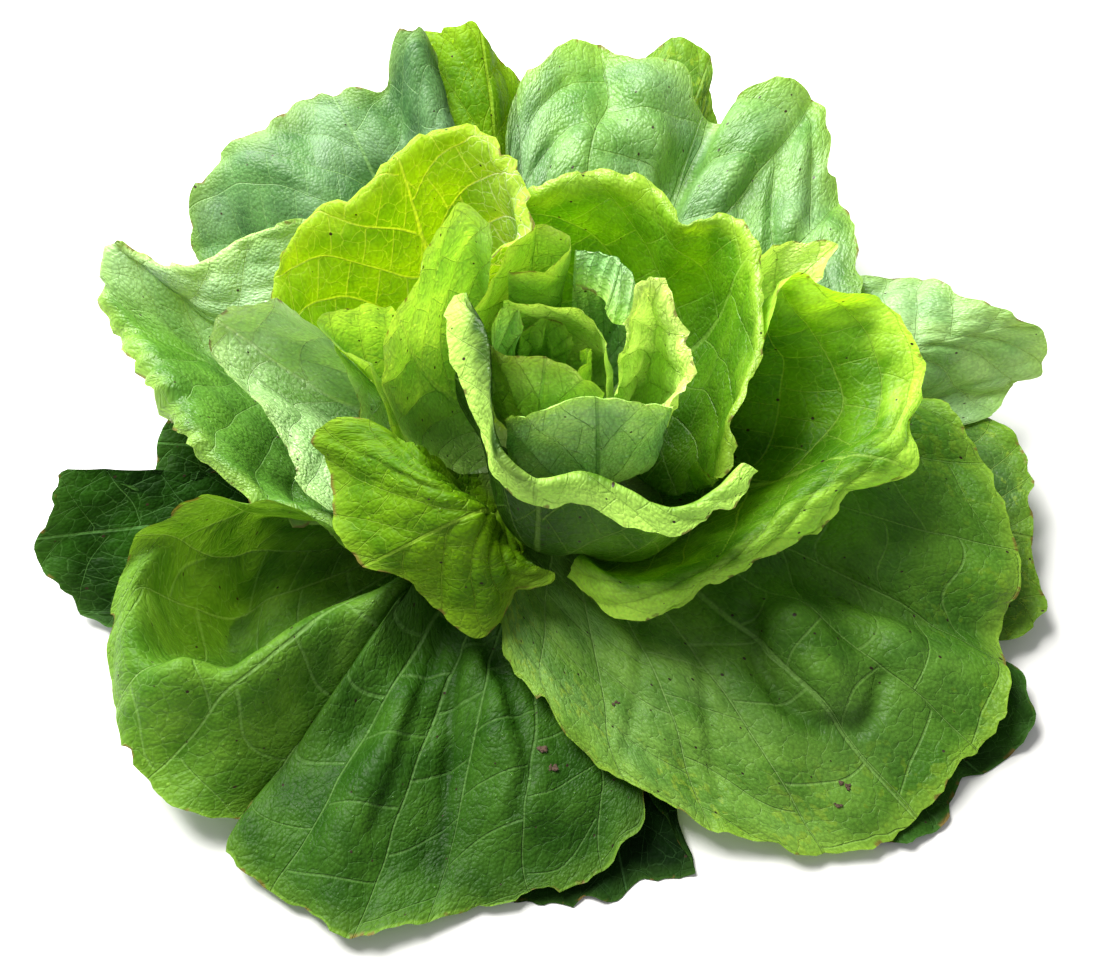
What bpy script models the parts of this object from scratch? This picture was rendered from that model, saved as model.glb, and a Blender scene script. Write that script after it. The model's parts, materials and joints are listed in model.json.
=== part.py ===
"""A butterhead lettuce as picked: a short cut stem and the leaves that grow from it, each leaf its own solid.

Lengths in the tables below are millimetres. Z is up, Y points to the back of the head, and the origin is
the centre of the stem's cut face, which rests on the table. The leaves are listed from the outermost in.
"""

import math

import bpy
import numpy as np
from mathutils import Vector
from mathutils.bvhtree import BVHTree

MM = 0.001

# The stem is a short cone with its cut face down.
STEM_RADIUS = 14.0
STEM_TOP_RADIUS = 6.0
STEM_HEIGHT = 38.0
STEM_SIDES = 24
CUT_BEVEL = 1.2

# A blade's thickness, the extra of its rib where it joins the stem, and the air kept between neighbours.
BLADE = 0.8
RIB = 1.4
RIB_SHARE = 0.16
RIB_TAPER = 1.5
RIB_REACH = 40.0
CLEARANCE = 1.3
SEAT_GAP = 0.5

# Each leaf clasps this much of the stem, and sits this far above the last one on its side.
CLASP = 48.0
CLASP_SPARE = 4.0
LOWEST_SEAT = 3.5
SEAT_STEP = 3.5
GROUND_GAP = 0.1

# Size of one cell of a leaf's grid, and how many there are from its base to its edge and along its edge.
CELL = 14.0
FINER_CELL = 10.0
FEWEST_CELLS = (5, 6)
MOST_CELLS = (8, 19)

# Rows of a leaf's grid that are drawn: base, waist and rim, or base, waist, fold and rim.
PLAIN_KNOTS = (0.0, 0.5, 1.0)
FOLDED_KNOTS = (0.0, 0.42, 0.8, 1.0)

# The leaves fan out round this point on the axis. Bending clear turns them about it.
FAN_HEIGHT = 4.0
BEND_ROUNDS = 26
BEND_SHARE = 0.55
DEGREE_SPAN = 60.0

# What still nearly touches after the bending is eased apart, square to the blades.
EASE_ROUNDS = 14
EASE_ROOM = 1.6
EASE_SHARE = 0.4

OUTER_GREEN = (0.07, 0.20, 0.03)
MID_GREEN = (0.17, 0.36, 0.04)
HEART_GREEN = (0.30, 0.50, 0.08)
STEM_GREEN = (0.55, 0.62, 0.35)


def leaf(name, azimuth, belly, rim, fold=None, forms=(), cell=CELL, green=MID_GREEN):
    """One leaf: the side of the stem it grows on, how far its middle bows outwards and its edge's points.

    azimuth is in degrees from +X. belly holds one or more distances along the leaf's width. rim runs
    anticlockwise seen from above, and so does fold, a crease where the leaf turns over before its edge.
    forms are its ridges and hollows: points (x, y) along each, its half width and its height. cell is the
    size of the leaf's cells.
    """
    return {
        "name": name,
        "azimuth": azimuth,
        "belly": belly,
        "rim": rim,
        "fold": fold,
        "forms": forms,
        "cell": cell,
        "green": green,
    }


LEAVES = [
    leaf("leaf_front_under", 272, (-4,), green=OUTER_GREEN, rim=(
        (-36, -128, 2), (-7, -138, 1), (18, -138, 1), (24, -133, 2), (42, -130, 1), (36, -120, 4),
        (22, -98, 7),
    )),
    leaf("leaf_right_under", 318, (-4,), green=OUTER_GREEN, rim=(
        (70, -118, 3), (100, -121, 1), (117, -111, 1), (119, -105, 3), (133, -97, 1), (142, -88, 4),
        (143, -76, 7), (134, -62, 9), (118, -55, 9),
    )),
    leaf("leaf_right_low", 345, (-4,), green=OUTER_GREEN, rim=(
        (112, -62, 8), (138, -60, 4), (147, -56, 5), (150, -40, 8), (151, -16, 15), (148, 5, 20),
        (139, 14, 22), (118, 18, 20),
    )),
    leaf("leaf_left_low", 160, (-2,), green=OUTER_GREEN, rim=(
        (-76, 40, 20), (-105, 28, 28), (-119, 14, 26), (-123, 0, 20), (-124, -14, 13), (-108, -26, 9),
        (-84, -24, 10),
    )),
    leaf("leaf_far_left", 187, (2,), green=OUTER_GREEN, rim=(
        (-100, -2, 12), (-120, -14, 20), (-134, -15, 27), (-148, -13, 32), (-152, -24, 25), (-155, -38, 16),
        (-147, -46, 11), (-138, -53, 6), (-120, -50, 4), (-100, -38, 6),
    )),
    leaf("leaf_right", 14, (-4, -8, -4), green=OUTER_GREEN, rim=(
        (112, 8, 16), (138, 12, 20), (146, 22, 20), (157, 26, 26), (159, 31, 35), (153, 34, 42),
        (138, 38, 45), (122, 50, 44), (102, 55, 44), (84, 64, 40),
    )),
    leaf("leaf_rear_small", 70, (2,), green=OUTER_GREEN, rim=(
        (70, 112, 25), (56, 128, 40), (57, 142, 49), (47, 149, 54), (36, 144, 50), (22, 134, 36),
    )),
    leaf("leaf_rear", 103, (4,), green=OUTER_GREEN, rim=(
        (6, 104, 42), (-10, 130, 52), (-19, 134, 62), (-26, 138, 74), (-33, 137, 70), (-46, 138, 62),
        (-54, 120, 44),
    )),
    leaf("leaf_rear_left", 128, (2, 6, 2), green=OUTER_GREEN, rim=(
        (-26, 88, 40), (-36, 108, 52), (-38, 128, 64), (-48, 135, 71), (-54, 124, 65), (-66, 119, 60),
        (-80, 120, 58), (-92, 108, 53), (-112, 101, 46), (-119, 91, 40), (-119, 76, 29), (-104, 68, 20),
    ), cell=FINER_CELL, forms=(
        (((-45, 130), (-41, 112), (-36, 98)), 6, 6),
        (((-53, 122), (-47, 106), (-42, 94)), 5, -5),
        (((-98, 94), (-84, 90), (-74, 84)), 11, 6),
        (((-112, 80), (-94, 74)), 8, -5),
        (((-72, 112), (-64, 98)), 8, 4),
    )),
    leaf("leaf_front_left", 232, (20, 14, -4, -8, -8), green=OUTER_GREEN, rim=(
        (-57, -42, 30), (-70, -38, 46), (-90, -38, 54), (-107, -38, 46), (-122, -48, 34), (-131, -72, 20),
        (-124, -94, 14), (-111, -110, 10), (-90, -118, 9), (-83, -108, 5), (-94, -122, 8), (-84, -133, 6),
        (-57, -148, 4), (-24, -142, 4), (0, -139, 5), (27, -112, 9), (16, -88, 13), (-2, -62, 18),
    ), cell=FINER_CELL, forms=(
        (((-42, -50), (-63, -62), (-77, -72), (-88, -80), (-102, -84)), 8, 22),
        (((-112, -48), (-119, -62), (-117, -76), (-106, -86)), 9, 18),
        (((-56, -68), (-76, -84), (-94, -94), (-110, -96)), 14, 8),
        (((-100, -48), (-98, -62)), 9, -12),
        (((-58, -88), (-72, -100), (-80, -108)), 7, -6),
        (((-22, -70), (-13, -94), (-8, -116)), 9, 6),
        (((-42, -86), (-56, -110), (-64, -126)), 8, 6),
        (((-30, -84), (-30, -108), (-34, -132)), 6, -3),
    )),
    leaf("leaf_front_right", 305, (-8, -10, -8), green=OUTER_GREEN, rim=(
        (-10, -46, 26), (-15, -66, 28), (0, -91, 21), (20, -108, 16), (40, -118, 11), (60, -124, 8),
        (78, -126, 6), (94, -122, 6), (110, -111, 8), (126, -97, 11), (136, -78, 15), (134, -58, 20),
        (140, -50, 24), (136, -23, 30), (122, 6, 36), (100, 20, 32),
    ), cell=FINER_CELL, forms=(
        (((66, -60), (75, -72), (83, -84)), 9, 7),
        (((66, -44), (90, -52), (135, -60)), 7, -5),
        (((94, -64), (108, -74)), 7, 4),
        (((32, -74), (38, -92)), 9, 3),
        (((54, -80), (66, -104)), 8, 3),
    )),
    leaf("leaf_rear_right", 62, (0, 4, 0), green=OUTER_GREEN, rim=(
        (100, 42, 36), (101, 61, 40), (98, 77, 42), (93, 100, 46), (88, 122, 55), (78, 124, 57),
        (62, 120, 57), (54, 118, 51), (48, 128, 55), (24, 137, 60), (4, 138, 61), (-8, 126, 58),
        (-15, 106, 50), (-12, 86, 34),
    ), cell=FINER_CELL, forms=(
        (((38, 86), (46, 100), (56, 118)), 6, -6),
        (((12, 96), (14, 106)), 9, 7),
        (((58, 86), (66, 95)), 7, 6),
        (((72, 106), (84, 98)), 8, 5),
        (((76, 76), (88, 72)), 7, 5),
        (((34, 110), (32, 124)), 8, 4),
    )),
    leaf("leaf_rear_right_inner", 30, (8,), rim=(
        (64, 12, 56), (74, 20, 68), (85, 35, 80), (74, 38, 80), (62, 34, 78), (54, 36, 66),
    )),
    leaf("leaf_left_wrapper", 172, (14, 12, 14), rim=(
        (-66, 66, 48), (-80, 64, 58), (-100, 58, 54), (-122, 51, 52), (-142, 57, 56), (-143, 42, 47),
        (-133, 34, 46), (-127, 18, 49), (-112, -7, 47), (-90, -25, 41), (-62, -36, 40),
    ), forms=(
        (((-112, 40), (-99, 27), (-88, 5), (-78, -12)), 10, -11),
    )),
    leaf("leaf_right_wrapper", 335, (14, 14, 8, 6), rim=(
        (5, -53, 34), (17, -63, 37), (31, -69, 40), (45, -65, 43), (59, -56, 47), (75, -45, 50),
        (88, -37, 53), (106, -25, 57), (104, -14, 62), (108, -4, 68), (102, 12, 77), (90, 17, 80),
        (80, 18, 82), (71, 21, 87), (64, 6, 82), (58, -4, 74),
    ), fold=(
        (8, -50, 42), (20, -61, 46), (36, -61, 49), (54, -53, 53), (67, -44, 56), (75, -37, 58),
        (88, -30, 60), (96, -21, 62), (100, -12, 63), (97, -4, 62), (88, 9, 68), (76, 13, 70),
        (68, 14, 71), (61, 16, 74), (55, 4, 70), (50, -3, 62),
    )),
    leaf("leaf_rear_right_wrapper", 45, (18, 16, 14), rim=(
        (42, -26, 56), (48, -36, 60), (52, -26, 73), (59, -4, 82), (61, 12, 86), (56, 32, 91), (46, 38, 93),
        (35, 37, 90), (26, 48, 94), (9, 51, 95), (-10, 49, 87),
    )),
    leaf("leaf_rear_left_bright", 135, (12, 14, 10), rim=(
        (-20, 27, 80), (-12, 30, 84), (-9, 41, 90), (-14, 55, 95), (-27, 66, 98), (-38, 64, 96),
        (-60, 48, 85), (-76, 43, 78), (-84, 30, 67), (-78, 18, 54),
    )),
    leaf("leaf_left_flap", 192, (10, 10, 6), rim=(
        (-54, -16, 58), (-54, -10, 68), (-62, 2, 75), (-76, 14, 76), (-97, 19, 68), (-104, 12, 60),
        (-93, 4, 56), (-80, -14, 47), (-68, -34, 38),
    )),
    leaf("leaf_front_left_flap", 236, (8, 8, 6), rim=(
        (-42, -19, 64), (-58, -17, 63), (-70, -20, 57), (-64, -30, 52), (-60, -43, 46), (-50, -54, 42),
        (-40, -59, 39), (-31, -63, 36), (-24, -71, 33), (-18, -69, 33), (-15, -61, 37), (-5, -59, 41),
        (2, -56, 43),
    ), fold=(
        (-37, -28, 70), (-36, -39, 69), (-30, -45, 67), (-23, -51, 62), (-18, -56, 54), (-7, -53, 45),
    )),
    leaf("leaf_left_inner", 168, (10,), rim=(
        (-46, -20, 60), (-48, -11, 70), (-52, -4, 77), (-62, 2, 77), (-68, 10, 77), (-60, 13, 80),
        (-46, 12, 82),
    )),
    leaf("leaf_left_twist", 165, (8, 10, 8), rim=(
        (-18, 27, 91), (-22, 33, 99), (-31, 26, 96), (-38, 14, 92), (-42, 4, 86), (-49, -6, 76),
        (-48, -16, 68), (-39, -28, 54),
    )),
    leaf("leaf_front_wrapper", 268, (14, 18, 25, 22), rim=(
        (-27, 2, 97), (-31, -1, 95), (-29, -11, 91), (-24, -22, 86), (-19, -35, 80), (-14, -46, 76),
        (-5, -52, 75), (8, -52, 76), (17, -54, 76), (26, -59, 73), (36, -60, 73), (46, -57, 75),
        (56, -46, 82),
    ), fold=(
        (-22, -1, 100), (-17, -9, 101), (-15, -18, 98), (-16, -29, 94), (-13, -40, 89), (-10, -48, 84),
        (-1, -49, 82), (9, -47, 81), (17, -49, 80), (26, -54, 78), (34, -55, 78), (42, -52, 79),
        (51, -45, 83),
    )),
    leaf("leaf_heart_rear_pale", 55, (6,), green=HEART_GREEN, rim=(
        (25, 4, 86), (20, 3, 82), (16, 5, 84), (14, 10, 86), (7, 14, 86),
    ), fold=(
        (28, 6, 88), (23, 12, 95), (15, 18, 97), (7, 20, 95),
    )),
    leaf("leaf_heart_rear_cone", 125, (6, 7, 10, 10, 8), green=HEART_GREEN, rim=(
        (-12, 10, 96), (-1, 9, 98), (6, 13, 99), (7, 18, 102), (1, 24, 104), (-6, 22, 103), (-12, 15, 99),
        (-21, 4, 94), (-27, 0, 86),
    )),
    leaf("leaf_heart_front_cup", 280, (14, 18, 14), green=HEART_GREEN, rim=(
        (-12, -30, 84), (-5, -32, 91), (6, -30, 96), (18, -31, 95), (30, -30, 92), (33, -26, 84),
    )),
    leaf("leaf_heart_right", 350, (8, 10, 6), green=HEART_GREEN, rim=(
        (27, -27, 84), (35, -24, 88), (38, -14, 95), (33, -4, 100), (26, 4, 106), (22, -4, 98),
        (20, -11, 92), (18, -22, 84),
    )),
    leaf("leaf_heart_right_edge", 58, (8, 8, 8), green=HEART_GREEN, rim=(
        (16, -22, 84), (15, -9, 90), (10, 0, 92), (-1, 3, 92), (-13, 6, 90),
    )),
    leaf("leaf_heart_front_inner", 255, (6, 8, 6), green=HEART_GREEN, rim=(
        (-18, -11, 91), (-12, -17, 95), (0, -21, 98), (9, -26, 97), (15, -27, 93),
    )),
    leaf("leaf_heart_left", 190, (4,), green=HEART_GREEN, rim=(
        (-7, -3, 92), (-11, 0, 96), (-16, -1, 94), (-17, -8, 88), (-12, -12, 84),
    )),
    leaf("leaf_core_rear", 140, (1,), green=HEART_GREEN, rim=(
        (7, 1, 76), (3, 5, 81), (-3, 6, 82), (-8, 3, 78),
    )),
    leaf("leaf_core_right", 330, (1,), green=HEART_GREEN, rim=(
        (4, -12, 76), (9, -12, 81), (12, -8, 85), (9, -4, 80),
    )),
]

# Pairs whose order is turned round where the spiral of leaves closes: the first stands outside the second.
OUTSIDE_INSTEAD = (("leaf_front_wrapper", "leaf_rear_right_wrapper"),)


def spline(points, knots, at):
    """Points on a smooth curve through points, which may be rows of a surface, at the parameters in at."""
    points = np.asarray(points, float)
    slopes = np.gradient(points, knots, axis=0)
    index = np.clip(np.searchsorted(knots, at, side="right") - 1, 0, len(knots) - 2)
    span = np.diff(knots)[index]
    t = (at - knots[index]) / span
    shape = (-1,) + (1,) * (points.ndim - 1)
    t, span = t.reshape(shape), span.reshape(shape)
    start, end = points[index], points[index + 1]
    bend_in, bend_out = slopes[index] * span, slopes[index + 1] * span
    return (
        (2 * t**3 - 3 * t**2 + 1) * start
        + (t**3 - 2 * t**2 + t) * bend_in
        + (3 * t**2 - 2 * t**3) * end
        + (t**3 - t**2) * bend_out
    )


def along(points, count):
    """count points evenly along a smooth curve through points."""
    points = np.asarray(points, float)
    steps = np.linalg.norm(np.diff(points, axis=0), axis=1)
    knots = np.concatenate([[0], np.cumsum(steps)]) / steps.sum()
    return spline(points, knots, np.linspace(0, 1, count))


def length_of(points):
    return float(np.linalg.norm(np.diff(np.asarray(points, float), axis=0), axis=1).sum())


def stem_radius(height):
    """Radius of the stem's side at a height."""
    return STEM_RADIUS + (STEM_TOP_RADIUS - STEM_RADIUS) * height / STEM_HEIGHT


def outwards(points):
    """Unit vectors that point away from the axis."""
    flat = np.array(points, float)
    flat[..., 2] = 0
    return flat / np.maximum(np.linalg.norm(flat, axis=-1, keepdims=True), 1e-6)


def seats():
    """Height of each leaf's foot: the leaves climb the stem in the order of the list."""
    found = {}
    for one in LEAVES:
        below = [LOWEST_SEAT]
        for other in LEAVES:
            apart = abs((one["azimuth"] - other["azimuth"] + 180) % 360 - 180)
            if other["name"] in found and apart < CLASP + CLASP_SPARE:
                below.append(found[other["name"]] + SEAT_STEP)
        found[one["name"]] = max(below)
    return found


SEATS = seats()


def base_row(one, count):
    """The leaf's foot: an arc that clasps the stem."""
    seat = SEATS[one["name"]]
    radius = stem_radius(seat) + SEAT_GAP + BLADE / 2
    turn = np.radians(one["azimuth"] + CLASP * np.linspace(-0.5, 0.5, count))
    return np.stack([radius * np.cos(turn), radius * np.sin(turn), np.full(count, seat)], axis=1)


def waist_row(one, base, edge):
    """The row halfway up the leaf, bowed outwards by the belly."""
    chord = edge - base
    chord_way = chord / np.linalg.norm(chord, axis=1, keepdims=True)
    way = outwards(base + edge) - np.array([0, 0, 1.0])
    way -= (way * chord_way).sum(axis=1, keepdims=True) * chord_way
    way /= np.linalg.norm(way, axis=1, keepdims=True)
    belly = one["belly"]
    bow = np.interp(np.linspace(0, 1, len(base)), np.linspace(0, 1, len(belly)), belly)
    return base + chord / 2 + way * bow[:, None]


def cells_of(one):
    """How many cells the leaf's grid has from base to edge and along its edge."""
    rim = np.asarray(one["rim"], float)
    reach = np.linalg.norm(rim - base_row(one, 3)[1], axis=1).max()
    cell = one["cell"]
    asked = round(reach / cell), round(length_of(rim) / cell)
    most = [round(most * CELL / cell) for most in MOST_CELLS]
    return tuple(int(np.clip(a, low, high)) for a, low, high in zip(asked, FEWEST_CELLS, most))


def from_line(places, points):
    """Distance of each place, in plan, from the line through points."""
    nearest = np.full(places.shape[:-1], np.inf)
    for start, end in zip(points[:-1], points[1:]):
        start, way = np.array(start, float), np.subtract(end, start)
        share = np.clip(((places - start) @ way) / (way @ way), 0, 1)
        nearest = np.minimum(nearest, np.linalg.norm(places - start - share[..., None] * way, axis=-1))
    return nearest


def swollen(one, grid):
    """The grid lifted along the leaf's ridges and sunk in its hollows, but for its foot."""
    for points, width, height in one["forms"]:
        grid[1:, :, 2] += height * np.exp(-((from_line(grid[1:, :, :2], points) / width) ** 2))
    return grid


def surface(one):
    """The leaf's middle surface as a grid of points: rows from its base to its edge."""
    up, across = cells_of(one)
    base, rim = base_row(one, across + 1), along(one["rim"], across + 1)
    if one["fold"] is None:
        rows, knots = [base, waist_row(one, base, rim), rim], np.array(PLAIN_KNOTS)
    else:
        fold = along(one["fold"], across + 1)
        rows, knots = [base, waist_row(one, base, fold), fold, rim], np.array(FOLDED_KNOTS)
    return swollen(one, spline(rows, knots, np.linspace(0, 1, up + 1)))


def to_fan(points):
    """Points as (x, y, turn) on the opened fan: distance from its centre, laid flat, and angle from level."""
    from_centre = points - np.array([0, 0, FAN_HEIGHT])
    reach = np.linalg.norm(from_centre, axis=-1)
    flat = outwards(points) * reach[..., None]
    flat[..., 2] = np.degrees(np.arcsin(from_centre[..., 2] / reach))
    return flat


def from_fan(flat):
    """The inverse of to_fan."""
    reach = np.linalg.norm(flat[..., :2], axis=-1, keepdims=True)
    turn = np.radians(flat[..., 2:])
    points = np.concatenate([flat[..., :2] * np.cos(turn), reach * np.sin(turn)], axis=-1)
    return points + np.array([0, 0, FAN_HEIGHT])


def grid_faces(rows, columns):
    """Quads of a grid of points, as indices."""
    index = np.arange(rows * columns).reshape(rows, columns)
    corners = index[:-1, :-1], index[1:, :-1], index[1:, 1:], index[:-1, 1:]
    return np.stack([c.ravel() for c in corners], axis=1)


def triangles(rows, columns):
    """The quads of a grid, each cut in two the same way."""
    quads = grid_faces(rows, columns)
    return np.concatenate([quads[:, [0, 1, 2]], quads[:, [0, 2, 3]]])


def fan_tree(flat):
    rows, columns = flat.shape[:2]
    return BVHTree.FromPolygons(flat.reshape(-1, 3).tolist(), triangles(rows, columns).tolist())


def is_outside(first, second, order):
    """Whether leaf first stands outside, and so below, leaf second on the fan."""
    if (first, second) in OUTSIDE_INSTEAD:
        return True
    return (second, first) not in OUTSIDE_INSTEAD and order[first] < order[second]


def spread(push):
    """A grid of pushes smoothed, and nowhere less than they were."""
    padded = np.pad(push, ((1, 1), (1, 1), (0, 0)), mode="edge")
    rows, columns = push.shape[:2]
    smooth = sum(padded[i : i + rows, j : j + columns] for i in range(3) for j in range(3)) / 9
    stronger = np.linalg.norm(push, axis=-1) > np.linalg.norm(smooth, axis=-1)
    return np.where(stronger[..., None], push, smooth)


def room_at(reach):
    """How far apart the middles of two blades have to be, this far from the stem's foot."""
    return BLADE + CLEARANCE + RIB * math.exp(-reach / RIB_REACH)


def push_from(flat, tree, below):
    """How many degrees each point of a leaf has to turn to clear the leaf in tree, below it or above it."""
    push = np.zeros(flat.shape[:2])
    start, way = (-DEGREE_SPAN * 2, 1.0) if below else (DEGREE_SPAN * 3, -1.0)
    for index in np.ndindex(push.shape):
        x, y, turn = flat[index]
        hit = tree.ray_cast(Vector((x, y, start)), Vector((0, 0, way)))[0]
        if hit is None:
            continue
        reach = math.hypot(x, y)
        room = math.degrees(room_at(reach) / reach)
        short = (turn - (hit.z - room)) if below else ((hit.z + room) - turn)
        if short > 0:
            push[index] = -short if below else short
    return push


def bend_clear(flats):
    """Turns the leaves about the fan's centre, bit by bit, until each clears its neighbours and the table."""
    names = list(flats)
    order = {name: place for place, name in enumerate(names)}
    for _ in range(BEND_ROUNDS):
        trees = {name: fan_tree(flat) for name, flat in flats.items()}
        low = {name: flat.min(axis=(0, 1)) for name, flat in flats.items()}
        high = {name: flat.max(axis=(0, 1)) for name, flat in flats.items()}
        for name, flat in flats.items():
            down, up = np.zeros(flat.shape[:2]), np.zeros(flat.shape[:2])
            for other in names:
                apart = (low[name] > high[other])[:2] | (low[other] > high[name])[:2]
                if other == name or apart.any():
                    continue
                if is_outside(name, other, order):
                    down = np.minimum(down, push_from(flat, trees[other], True))
                else:
                    up = np.maximum(up, push_from(flat, trees[other], False))
            push = spread((down + up)[..., None])[..., 0] * BEND_SHARE
            flat[1:, :, 2] += push[1:]
            keep_off_table(flat)


def ease_from(grid, tree, side):
    """How far each point of a leaf has to move to leave room between it and the leaf in tree.

    side is 1 for a leaf that belongs on the side of the heart, and -1 for one that belongs outside.
    """
    push = np.zeros(grid.shape)
    for index in np.ndindex(grid.shape[:2]):
        point = Vector(grid[index])
        near, normal, _, distance = tree.find_nearest(point, EASE_ROOM)
        if near is not None:
            away = (point - near).dot(normal) * side
            push[index] = normal * side * (EASE_ROOM - math.copysign(distance, away))
    return push


def ease_apart(grids):
    """Moves the leaves square to their blades, bit by bit, until each has room from its neighbours."""
    names = list(grids)
    order = {name: place for place, name in enumerate(names)}
    for _ in range(EASE_ROUNDS):
        trees = {name: fan_tree(grid) for name, grid in grids.items()}
        low = {name: grid.min(axis=(0, 1)) for name, grid in grids.items()}
        high = {name: grid.max(axis=(0, 1)) for name, grid in grids.items()}
        for name, grid in grids.items():
            push = np.zeros(grid.shape)
            for other in names:
                apart = (low[name] > high[other] + CLEARANCE) | (low[other] > high[name] + CLEARANCE)
                if other != name and not apart.any():
                    push += ease_from(grid, trees[other], -1 if is_outside(name, other, order) else 1)
            grid[1:] += spread(push)[1:] * EASE_SHARE
            grid[..., 2] = np.maximum(grid[..., 2], GROUND_GAP + BLADE / 2)
            keep_off_stem(grid)


def keep_off_stem(grid):
    """Moves out any point that lies too near the stem's side."""
    reach = np.hypot(grid[..., 0], grid[..., 1])
    least = stem_radius(grid[..., 2]) + SEAT_GAP + BLADE / 2
    least[grid[..., 2] > STEM_HEIGHT + STEM_TOP_RADIUS] = 0
    grid[..., :2] *= np.maximum(least / reach, 1)[..., None]


def keep_off_table(flat):
    """Turns up any point that lies lower than the table allows."""
    reach = np.linalg.norm(flat[..., :2], axis=-1)
    lowest = GROUND_GAP + BLADE / 2 - FAN_HEIGHT
    flat[..., 2] = np.maximum(flat[..., 2], np.degrees(np.arcsin(np.clip(lowest / reach, -1, 1))))


def normals_of(grid):
    """Unit normals of a grid of points, on the side that faces the heart."""
    across = np.gradient(grid, axis=1)
    up = np.gradient(grid, axis=0)
    normal = np.cross(up, across)
    return normal / np.maximum(np.linalg.norm(normal, axis=-1, keepdims=True), 1e-9)


def thickness(rows, columns):
    """Extra thickness of the rib under each point of the leaf, strongest at its base."""
    down = (1 - np.linspace(0, 1, rows))[:, None] ** RIB_TAPER
    side = np.linspace(-0.5, 0.5, columns)[None, :] / RIB_SHARE
    return RIB * down * np.exp(-(side**2))


def leaf_mesh(name, grid):
    """A closed leaf: an upper and a lower face with the same triangles, joined by a strip round the edge."""
    rows, columns = grid.shape[:2]
    normal = normals_of(grid)
    upper = grid + normal * BLADE / 2
    lower = grid - normal * (BLADE / 2 + thickness(rows, columns)[..., None])
    face = triangles(rows, columns)
    index = np.arange(rows * columns).reshape(rows, columns)
    ring = np.concatenate([index[:-1, 0], index[-1, :-1], index[:0:-1, -1], index[0, :0:-1]])
    following = np.roll(ring, -1)
    shift = rows * columns
    first = np.stack([following, ring, ring + shift], 1)
    second = np.stack([following, ring + shift, following + shift], 1)
    strip = np.concatenate([first, second])
    points = np.concatenate([upper.reshape(-1, 3), lower.reshape(-1, 3)]) * MM
    mesh = bpy.data.meshes.new(name)
    mesh.from_pydata(points.tolist(), [], np.concatenate([face, face[:, ::-1] + shift, strip]).tolist())
    mesh.validate()
    return mesh


def stem_mesh():
    """The stem: a turned cone, its edge at the cut face broken and its top rounded over."""
    profile = [
        (STEM_RADIUS - CUT_BEVEL, 0.0),
        (STEM_RADIUS, CUT_BEVEL),
        (stem_radius(STEM_HEIGHT * 0.5), STEM_HEIGHT * 0.5),
        (STEM_TOP_RADIUS, STEM_HEIGHT),
        (STEM_TOP_RADIUS * 0.6, STEM_HEIGHT + STEM_TOP_RADIUS * 0.8),
    ]
    turn = np.arange(STEM_SIDES) * 2 * math.pi / STEM_SIDES
    points = [(r * math.cos(t) * MM, r * math.sin(t) * MM, z * MM) for r, z in profile for t in turn]
    faces = [list(range(STEM_SIDES))[::-1]]
    for ring in range(len(profile) - 1):
        for side in range(STEM_SIDES):
            here, there = ring * STEM_SIDES + side, ring * STEM_SIDES + (side + 1) % STEM_SIDES
            faces.append([here, there, there + STEM_SIDES, here + STEM_SIDES])
    faces.append([(len(profile) - 1) * STEM_SIDES + side for side in range(STEM_SIDES)])
    mesh = bpy.data.meshes.new("stem")
    mesh.from_pydata(points, [], faces)
    mesh.validate()
    return mesh


def finish_of(name, colour):
    """A leaf or stem material in one plain colour."""
    material = bpy.data.materials.new(name)
    material.use_nodes = True
    shader = material.node_tree.nodes["Principled BSDF"]
    shader.inputs["Base Color"].default_value = (*colour, 1)
    shader.inputs["Roughness"].default_value = 0.5
    shader.inputs["Metallic"].default_value = 0.0
    return material


def place(name, mesh, colour):
    """Puts a mesh in the scene as an object with its own material, shaded smooth."""
    mesh.materials.append(finish_of(name, colour))
    mesh.shade_smooth()
    made = bpy.data.objects.new(name, mesh)
    bpy.context.scene.collection.objects.link(made)
    return made


def leaf_grids():
    """Every leaf's middle surface, bent clear of the others."""
    flats = {one["name"]: to_fan(surface(one)) for one in LEAVES}
    bend_clear(flats)
    grids = {name: from_fan(flat) for name, flat in flats.items()}
    ease_apart(grids)
    return grids


def main():
    for old in list(bpy.data.objects):
        bpy.data.objects.remove(old)
    place("stem", stem_mesh(), STEM_GREEN)
    grids = leaf_grids()
    for one in LEAVES:
        place(one["name"], leaf_mesh(one["name"], grids[one["name"]]), one["green"])


main()
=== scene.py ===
import functools
import json
import math

import bmesh
import bpy
import numpy as np
from bpy.props import FloatProperty, FloatVectorProperty, PointerProperty
from mathutils import Matrix, Vector, noise
from mathutils.bvhtree import BVHTree

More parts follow.
